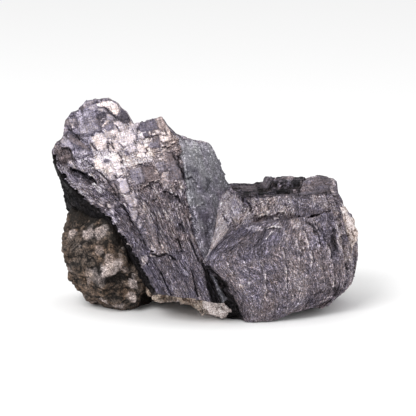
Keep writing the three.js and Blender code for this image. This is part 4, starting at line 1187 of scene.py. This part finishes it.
def make_piece(name, surface, node, material):
    """A mesh object from a surface in millimetres; tones become point attributes, grain a UV map."""
    points, quads, tones, grain = surface
    points = (points - CENTRE) * MM
    points = keep_in_box(points, CAD_BOX[0], CAD_BOX[1])
    mesh = bpy.data.meshes.new(name)
    mesh.vertices.add(len(points))
    mesh.vertices.foreach_set("co", points.astype(np.float32).ravel())
    mesh.loops.add(quads.size)
    mesh.loops.foreach_set("vertex_index", quads.astype(np.int32).ravel())
    mesh.polygons.add(len(quads))
    mesh.polygons.foreach_set("loop_start", (np.arange(len(quads)) * 4).astype(np.int32))
    mesh.polygons.foreach_set("loop_total", np.full(len(quads), 4, np.int32))
    mesh.update(calc_edges=True)
    for key, values in tones.items():
        mesh.attributes.new(key, "FLOAT", "POINT").data.foreach_set("value", values.astype(np.float32))
    layer = mesh.uv_layers.new(name="grain")
    layer.data.foreach_set("uv", (grain * MM)[quads.ravel()].astype(np.float32).ravel())
    mesh.validate()
    mesh.shade_flat()
    piece = bpy.data.objects.new(name, mesh)
    bpy.context.scene.collection.objects.link(piece)
    mesh.materials.append(material)
    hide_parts(node)
    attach(piece, "root")
    return piece


# ---- shader expressions ----------------------------------------------------------------------------------

PALEST = 0.93    # the palest grey that a colour may reach when it is lightened


class Val:
    """A socket that adds Math nodes when it is used in an expression with numbers or other sockets."""

    def __init__(self, graph, socket):
        self.graph = graph
        self.socket = socket

    def math(self, operation, *values, clamp=False):
        inputs = dict(enumerate(values))
        return self.graph.node("ShaderNodeMath", {"operation": operation, "use_clamp": clamp}, inputs)

    def __add__(self, other):
        return self.math("ADD", self, other)

    def __sub__(self, other):
        return self.math("SUBTRACT", self, other)

    def __rsub__(self, other):
        return self.math("SUBTRACT", other, self)

    def __mul__(self, other):
        return self.math("MULTIPLY", self, other)

    def __truediv__(self, other):
        return self.math("DIVIDE", self, other)

    def __neg__(self):
        return self.math("MULTIPLY", self, -1.0)

    def floor(self):
        return self.math("FLOOR", self)

    def least(self, other):
        return self.math("MINIMUM", self, other)

    def clamped(self):
        return self.math("ADD", self, 0.0, clamp=True)

    def doubled(self):
        """2 to the power of this value."""
        return self.math("POWER", 2.0, self)

    __radd__ = __add__
    __rmul__ = __mul__


class Graph:
    """A material's node tree, filled from expressions."""

    def __init__(self, material):
        material.use_nodes = True
        self.tree = material.node_tree
        self.tree.nodes.clear()

    def node(self, kind, settings=None, inputs=None, output=0):
        """Adds a node: its settings first, then values or links for its sockets; returns one output."""
        made = self.tree.nodes.new(kind)
        for key, value in (settings or {}).items():
            setattr(made, key, value)
        for key, value in (inputs or {}).items():
            if isinstance(value, Val):
                self.tree.links.new(value.socket, made.inputs[key])
            else:
                made.inputs[key].default_value = value
        return Val(self, made.outputs[output])

    def attribute(self, name):
        """A tone that make_piece keeps on the mesh's points."""
        return self.node("ShaderNodeAttribute", {"attribute_name": name}, output="Fac")

    def blend(self, factor, low, high, mode="MIX"):
        """Mix of two colours."""
        settings = {"data_type": "RGBA", "blend_type": mode, "clamp_factor": True}
        return self.node("ShaderNodeMix", settings, {0: factor, 6: low, 7: high}, output=2)

    def noise(self, vector, scale, detail=3.0, rough=0.55):
        """Noise 0..1 with `scale` features per metre."""
        inputs = {"Vector": vector, "Scale": scale, "Detail": detail, "Roughness": rough}
        return self.node("ShaderNodeTexNoise", None, inputs)

    def flecks(self, across, down, width, height):
        """Small bricks: columns `width` wide, cut every `height` from their own start. Returns a number 0..1
        for each brick and the distance in metres to its nearest joint."""
        place = across / width
        column = place.floor()
        level = down / height + self.white(column) * 7.0
        row = level.floor()
        side = place - column
        end = level - row
        edge = (side.least(1 - side) * width).least(end.least(1 - end) * height)
        return self.white(column + row * 57.31), edge

    def white(self, value):
        """A random number 0..1 for each value."""
        return self.node("ShaderNodeTexWhiteNoise", {"noise_dimensions": "1D"}, {"W": value}, "Value")

    def stretched(self, vector, scale):
        """A vector scaled by its own factor along each axis."""
        return self.node("ShaderNodeMapping", None, {"Vector": vector, "Scale": scale})

    def lightened(self, colour, stops):
        """Colour times 2 to the power of `stops`, kept below white."""
        factor = stops.doubled()
        scaled = self.node("ShaderNodeVectorMath", {"operation": "SCALE"}, {0: colour, "Scale": factor})
        return self.node("ShaderNodeVectorMath", {"operation": "MINIMUM"}, {0: scaled, 1: (PALEST,) * 3})

    def finish(self, shader):
        """Links the shader to the material's output."""
        output = self.tree.nodes.new("ShaderNodeOutputMaterial")
        self.tree.links.new(shader.socket, output.inputs["Surface"])


# ---- materials -------------------------------------------------------------------------------------------
# A noise's scale is its number of features per metre.

GALENA_NOISE = {"broad": 230.0, "narrow": 800.0, "mottle": 420.0, "grit": 1700.0, "tint": 2400.0,
                "fine": 2700.0}
MATRIX_NOISE = {"tint": 200.0, "mottle": 380.0, "grit": 1500.0, "fine": 2900.0}
FIBRES = (3000.0, 480.0, 1.0)       # features per metre across and along the fibres, strands and stains
STRANDS = (1700.0, 130.0, 1.0)
STAINS = (900.0, 240.0, 1.0)
BEND = 3.0 * MM                     # how far the broad and the narrow waves push the fibres aside
BOW = 0.7 * MM
PLATE_SIZE = (2.5 * MM, 1.9 * MM)
CHIP_SIZE = (0.8 * MM, 1.1 * MM)
PLATE_JOINT = 0.17 * MM
CHIP_JOINT = 0.12 * MM
BUMP_DISTANCE = 0.5 * MM


def rgba(colour):
    """A colour setting as an opaque colour for a socket."""
    return (*colour, 1.0)


def toned(graph, base, bright, warm, colours):
    """Base colour moved towards its pale or dark end by `bright`, and tinted brown or violet by `warm`."""
    colour = graph.blend(bright.clamped(), base, rgba(colours.pale))
    colour = graph.blend((-bright).clamped(), colour, rgba(colours.dark))
    colour = graph.blend(warm.clamped(), colour, rgba(colours.warm_tint), "MULTIPLY")
    return graph.blend((-warm).clamped(), colour, rgba(colours.cool_tint), "MULTIPLY")


def galena_material(colours):
    """Lead-grey metal lustre: flat cleavage plates with dark joints where a face is blocky, worm-like fibres
    where it is fibrous, fine grain all over and little of either where it is smooth. All of these lighten and
    darken the colour by factors, so that they show alike on pale and on dark parts."""
    material = bpy.data.materials.new("galena_lustre")
    graph = Graph(material)
    place = graph.node("ShaderNodeTexCoord", output="Object")
    grain = graph.node("ShaderNodeUVMap", {"uv_map": "grain"})
    bright, warm, polish, fibre = (graph.attribute(key) for key in ("bright", "warm", "polish", "fibre"))
    fibre = fibre.clamped()
    broken = 1 - polish.clamped()

    # across and down the face in metres, and the same bent by two sizes of waves
    across = graph.node("ShaderNodeSeparateXYZ", None, {"Vector": grain}, "X")
    down = graph.node("ShaderNodeSeparateXYZ", None, {"Vector": grain}, "Y")
    broad = graph.noise(place, GALENA_NOISE["broad"], 2.0)
    bend = broad * BEND
    bow = graph.noise(place, GALENA_NOISE["narrow"], 2.0) * BOW
    warped = graph.node("ShaderNodeCombineXYZ", None, {"X": across + bend + bow, "Y": down + bend})

    # fibres, plates and grain, each a number about zero
    fibres = graph.noise(graph.stretched(warped, FIBRES), 1.0, 1.0) - 0.5
    strands = graph.noise(graph.stretched(warped, STRANDS), 1.0, 2.0) - 0.5
    fine = graph.noise(place, GALENA_NOISE["fine"], 2.0) - 0.5
    grit = graph.noise(place, GALENA_NOISE["grit"], 2.0) - 0.5
    mottle = graph.noise(place, GALENA_NOISE["mottle"], 3.0) - 0.5
    plate, plate_edge = graph.flecks(across + bow * 0.4, down + bow * 0.3, *PLATE_SIZE)
    chip, chip_edge = graph.flecks(down + bow * 0.3, across + bow * 0.5, *CHIP_SIZE)
    joint = (1 - plate_edge / PLATE_JOINT).clamped() + (1 - chip_edge / CHIP_JOINT).clamped() * 0.5
    plates = (plate - 0.5) * 0.45 + (chip - 0.5) * 0.35 - joint * 0.6
    threads = fibres * (0.9 + 4.4 * fibre) + strands * fibre * 2.0

    # the colour: toned, tinted, stained, and lightened by powers of two
    stops = threads + fine * (4.3 - 2.6 * polish) + grit * 0.7 + plates * (1 - fibre)
    # glint: a few chips lightened as a painted sparkle
    glint = ((chip - 0.965) * 40.0).clamped() * 0.7
    stops = (stops + glint) * (0.25 + 0.75 * broken) * colours.detail + mottle * 1.1
    specks = graph.noise(place, GALENA_NOISE["tint"], 2.0) - 0.5
    tint = warm + (broad - 0.5) * 2.0 + specks * 6.0
    colour = toned(graph, rgba(colours.lead), bright, tint, colours)
    colour = graph.blend((-1 - warm).clamped(), colour, rgba(colours.slate_tint), "MULTIPLY")
    stain = (graph.noise(graph.stretched(warped, STAINS), 1.0, 2.0) - 0.63) * 7.0
    colour = graph.blend(stain.clamped() * 0.7 * broken, colour, rgba(colours.stain_tint), "MULTIPLY")
    colour = graph.lightened(colour, stops)

    roughness = colours.roughness + mottle * 0.3 + (chip - 0.5) * 0.15 - 0.08 * polish
    height = threads * 0.7 + fine * 0.8 + grit * 0.8 + plates * (1 - fibre) * 0.4
    height = height * (0.15 + 0.85 * broken)
    bump = graph.node("ShaderNodeBump", None, {"Strength": 0.9, "Distance": BUMP_DISTANCE, "Height": height})
    shader = graph.node("ShaderNodeBsdfPrincipled", None, {
        "Base Color": colour, "Roughness": roughness, "Metallic": colours.metallic, "Normal": bump,
        "Specular IOR Level": 0.12, "Specular Tint": (0.5, 0.5, 0.5, 1.0)})
    graph.finish(shader)
    return material


def matrix_material(colours):
    """Dull brown rock with creases painted dark as shade, dense fine grain, and pale quartz that has a faint
    gloss.
    """
    material = bpy.data.materials.new("brown_matrix")
    graph = Graph(material)
    place = graph.node("ShaderNodeTexCoord", output="Object")
    bright, warm, quartz = (graph.attribute(key) for key in ("bright", "warm", "quartz"))
    fine = graph.noise(place, MATRIX_NOISE["fine"], 2.0) - 0.5
    grit = graph.noise(place, MATRIX_NOISE["grit"], 3.0) - 0.5
    mottle = graph.noise(place, MATRIX_NOISE["mottle"], 4.0, 0.65)
    tint = warm + (graph.noise(place, MATRIX_NOISE["tint"], 2.0) - 0.5) * 1.4 + grit * 2.4
    colour = toned(graph, rgba(colours.rock), bright + (mottle - 0.5) * 0.5, tint, colours)
    cloudy = graph.blend(mottle, rgba(colours.quartz_shade), rgba(colours.quartz))
    share = (quartz + (grit * 2.2 + (mottle - 0.5) * 1.4) * quartz).clamped()
    colour = graph.blend(share, colour, cloudy)
    stops = (fine * 8.5 + grit * 3.0) * (1 - 0.3 * share) + (mottle - 0.5) * 1.6 * (1 - 0.5 * share)
    colour = graph.lightened(colour, stops)
    roughness = 0.8 - 0.38 * share
    bump = graph.node("ShaderNodeBump", None, {
        "Strength": 0.7, "Distance": BUMP_DISTANCE, "Height": fine * 0.5 + grit * 0.9 + mottle})
    shader = graph.node("ShaderNodeBsdfPrincipled", None, {
        "Base Color": colour, "Roughness": roughness, "Metallic": 0.0, "Normal": bump,
        "Specular IOR Level": 0.2})
    graph.finish(shader)
    return material


# ---- settings --------------------------------------------------------------------------------------------

def colour_property(name, description, default):
    """A colour setting; tints may be brighter than white."""
    return FloatVectorProperty(name=name, description=description, default=default, subtype="COLOR", size=3,
                               min=0.0, max=2.0)


class GalenaSettings(PropertyGroup):
    """Fineness and finish of the galena."""

    spacing: FloatProperty(name="Mesh spacing", description="Distance between surface points",
                           default=0.43 * MM, min=0.2 * MM, unit="LENGTH", precision=5)
    lead: colour_property("Lead grey", "Colour of plain broken galena", (0.172, 0.151, 0.174))
    pale: colour_property("Pale", "Colour of the brightest cleavage", (0.87, 0.78, 0.79))
    dark: colour_property("Dark", "Colour of cracks and shaded undersides", (0.012, 0.011, 0.012))
    warm_tint: colour_property("Warm tint", "Tint of brown patches", (1.09, 0.965, 0.86))
    cool_tint: colour_property("Cool tint", "Tint of fresh patches", (0.93, 0.95, 1.12))
    slate_tint: colour_property("Slate tint", "Tint of the smooth side face", (1.0, 1.08, 0.93))
    stain_tint: colour_property("Stain tint", "Tint of rusty threads", (1.2, 1.05, 0.78))
    roughness: FloatProperty(name="Roughness", description="Average roughness", default=0.42, min=0, max=1,
                             subtype="FACTOR")
    detail: FloatProperty(name="Detail", description="Strength of the fine light and dark grain", default=1.7,
                          min=0, max=3)
    metallic: FloatProperty(name="Metallic", description="Share of metal reflection", default=0.55,
                            min=0, max=1, subtype="FACTOR")


class MatrixSettings(PropertyGroup):
    """Fineness and finish of the matrix."""

    spacing: FloatProperty(name="Mesh spacing", description="Distance between surface points",
                           default=0.36 * MM, min=0.2 * MM, unit="LENGTH", precision=5)
    rock: colour_property("Rock", "Colour of plain matrix", (0.115, 0.09, 0.076))
    # pale is also the colour that the painted light on high lumps reaches
    pale: colour_property("Pale", "Colour of weathered high spots", (0.36, 0.31, 0.27))
    # dark is also the colour of the painted shade in creases and of the crystal's shadow painted on the lobe
    dark: colour_property("Dark", "Colour of creases", (0.012, 0.01, 0.009))
    warm_tint: colour_property("Warm tint", "Tint of rusty patches", (1.12, 0.94, 0.78))
    cool_tint: colour_property("Cool tint", "Tint of grey patches", (0.93, 0.95, 1.02))
    quartz: colour_property("Quartz", "Colour of clean quartz", (1.0, 0.86, 0.84))
    quartz_shade: colour_property("Quartz shade", "Colour of cloudy quartz", (0.42, 0.34, 0.325))


class StageSettings(PropertyGroup):
    """Floor, lights and camera."""

    elevation: FloatProperty(name="Elevation", description="Camera's height angle over the specimen",
                             default=math.radians(12), subtype="ANGLE")
    distance: FloatProperty(name="Distance", description="Camera to the point it looks at", default=0.7,
                            unit="LENGTH")
    aim: FloatVectorProperty(name="Aim", description="Point that the camera looks at",
                             default=(0.001015, -0.003946, 0.0415), subtype="TRANSLATION", size=3)
    frame_width: FloatProperty(name="Frame width", description="Width seen at the aim point", default=0.1664,
                               unit="LENGTH", precision=4)
    floor_colour: colour_property("Floor", "Colour of the floor", (0.9, 0.9, 0.9))
    key_power: FloatProperty(name="Key light", description="Power of the main light in watts", default=9.0)
    fill_power: FloatProperty(name="Fill light", description="Power of the second light in watts",
                              default=1.0)
    sky: FloatProperty(name="Sky", description="Strength of the even light all round", default=0.95)


class SpecimenSettings(PropertyGroup):
    """All settings of the specimen."""

    galena: PointerProperty(type=GalenaSettings)
    matrix: PointerProperty(type=MatrixSettings)
    stage: PointerProperty(type=StageSettings)


# ---- operators -------------------------------------------------------------------------------------------

def galena_piece(context, name, block, faces):
    """One block of galena, in the material that the first of them makes."""
    settings = context.scene.specimen.galena
    material = bpy.data.materials.get("galena_lustre") or galena_material(settings)
    surface = block_surface(block, faces, settings.spacing / MM)
    make_piece(name, surface, "galena", material)


class SPECIMEN_OT_crystal(Operator):
    """Adds the tall leaning crystal with its cleavage steps"""

    bl_idname = "specimen.crystal"
    bl_label = "Cleaved Crystal"

    def execute(self, context):
        faces = {"front": CRYSTAL_FRONT, "right": CRYSTAL_RIGHT, "left": CRYSTAL_LEFT, "top": CRYSTAL_TOP,
                 "back": CRYSTAL_BACK, "bottom": CRYSTAL_BOTTOM}
        galena_piece(context, "crystal_surface", CRYSTAL, faces)
        return {"FINISHED"}


class SPECIMEN_OT_shelf(Operator):
    """Adds the level shelf with its thinly layered top"""

    bl_idname = "specimen.shelf"
    bl_label = "Shelf"

    def execute(self, context):
        faces = {"front": SHELF_FRONT, "right": SHELF_RIGHT, "left": SHELF_LEFT, "top": SHELF_TOP,
                 "back": SHELF_BACK, "bottom": SHELF_BACK}
        galena_piece(context, "shelf_surface", SHELF, faces)
        return {"FINISHED"}


class SPECIMEN_OT_bulge(Operator):
    """Adds the rounded, fibrous bulge under the shelf"""

    bl_idname = "specimen.bulge"
    bl_label = "Bulge"

    def execute(self, context):
        faces = {"front": BULGE_FRONT, "right": BULGE_RIGHT, "left": BULGE_LEFT, "top": BULGE_TOP,
                 "back": BULGE_BACK, "bottom": BULGE_BOTTOM}
        galena_piece(context, "bulge_surface", BULGE, faces)
        return {"FINISHED"}


class SPECIMEN_OT_matrix(Operator):
    """Adds the matrix: lobe, seam with its nodule, slab across the back and patch on the right end"""

    bl_idname = "specimen.matrix"
    bl_label = "Matrix"

    def execute(self, context):
        settings = context.scene.specimen.matrix
        material = bpy.data.materials.get("brown_matrix") or matrix_material(settings)
        fineness = settings.spacing / MM
        surfaces = {
            "lobe_surface": lump_surface(LOBE, LOBE_ROCK, fineness),
            "end_patch_surface": lump_surface(END_PATCH, PALE_ROCK, fineness),
            "nodule_surface": lump_surface(NODULE, NODULE_ROCK, fineness),
            "seam_surface": block_surface(SEAM, dict.fromkeys(FACE_NAMES, SEAM_ROCK), fineness),
            "back_slab_surface": block_surface(BACK_SLAB, dict.fromkeys(FACE_NAMES, BACK_ROCK), fineness),
        }
        for name, surface in surfaces.items():
            make_piece(name, surface, "matrix", material)
        return {"FINISHED"}


KEY_PLACE = (-0.45, -0.75, 0.85)    # the main light stands to the left, in front and above
KEY_SIZE = 0.55
FILL_PLACE = (0.9, -0.7, 0.5)
FILL_SIZE = 0.8
FLOOR_HALF = 6.0
NEAR_CLIP = 0.01


class SPECIMEN_OT_stage(Operator):
    """Adds the pale floor, the soft lights and the camera"""

    bl_idname = "specimen.stage"
    bl_label = "Stage"

    def execute(self, context):
        settings = context.scene.specimen.stage
        add_floor(settings)
        aim = Vector(settings.aim)
        add_light("key_light", KEY_PLACE, aim, KEY_SIZE, settings.key_power)
        add_light("fill_light", FILL_PLACE, aim, FILL_SIZE, settings.fill_power)
        world = bpy.data.worlds.new("even_sky")
        world.use_nodes = True
        background = world.node_tree.nodes["Background"]
        background.inputs["Color"].default_value = (1.0, 1.0, 1.0, 1.0)
        background.inputs["Strength"].default_value = settings.sky
        context.scene.world = world
        context.scene.view_settings.view_transform = "Standard"
        camera_data = bpy.data.cameras.new("camera")
        camera_data.sensor_fit = "HORIZONTAL"
        camera_data.lens = camera_data.sensor_width * settings.distance / settings.frame_width
        camera_data.clip_start = NEAR_CLIP
        camera = bpy.data.objects.new("camera", camera_data)
        back = Vector((0, -math.cos(settings.elevation), math.sin(settings.elevation)))
        camera.location = aim + back * settings.distance
        camera.rotation_euler = (-back).to_track_quat("-Z", "Y").to_euler()
        context.scene.collection.objects.link(camera)
        context.scene.camera = camera
        return {"FINISHED"}


def add_floor(settings):
    """A wide square floor in the resting plane."""
    mesh = bpy.data.meshes.new("floor")
    corners = [(x * FLOOR_HALF, y * FLOOR_HALF, 0) for x, y in ((-1, -1), (1, -1), (1, 1), (-1, 1))]
    mesh.from_pydata(corners, [], [(0, 1, 2, 3)])
    material = bpy.data.materials.new("pale_floor")
    graph = Graph(material)
    shader = graph.node("ShaderNodeBsdfPrincipled", None, {
        "Base Color": rgba(settings.floor_colour), "Roughness": 0.9, "Specular IOR Level": 0.0})
    graph.finish(shader)
    mesh.materials.append(material)
    floor = bpy.data.objects.new("floor", mesh)
    bpy.context.scene.collection.objects.link(floor)


def add_light(name, place, aim, size, power):
    """A square soft light that faces the aim point."""
    light = bpy.data.lights.new(name, "AREA")
    light.size = size
    light.energy = power
    lamp = bpy.data.objects.new(name, light)
    lamp.location = place
    lamp.rotation_euler = (aim - Vector(place)).to_track_quat("-Z", "Y").to_euler()
    bpy.context.scene.collection.objects.link(lamp)


class SPECIMEN_PT_panel(Panel):
    """Lists the specimen's pieces"""

    bl_label = "Galena Specimen"
    bl_idname = "SPECIMEN_PT_panel"
    bl_space_type = "VIEW_3D"
    bl_region_type = "UI"
    bl_category = "Galena"

    def draw(self, context):
        for step in STEPS:
            self.layout.operator(f"specimen.{step}")


STEPS = ("crystal", "shelf", "bulge", "matrix", "stage")

CLASSES = (
    GalenaSettings, MatrixSettings, StageSettings, SpecimenSettings, SPECIMEN_OT_crystal, SPECIMEN_OT_shelf,
    SPECIMEN_OT_bulge, SPECIMEN_OT_matrix, SPECIMEN_OT_stage, SPECIMEN_PT_panel,
)


def register():
    for cls in CLASSES:
        bpy.utils.register_class(cls)
    bpy.types.Scene.specimen = PointerProperty(type=SpecimenSettings)


def unregister():
    del bpy.types.Scene.specimen
    for cls in reversed(CLASSES):
        bpy.utils.unregister_class(cls)


def main():
    register()
    for step in STEPS:
        getattr(bpy.ops.specimen, step)()


if __name__ == "__main__":
    main()
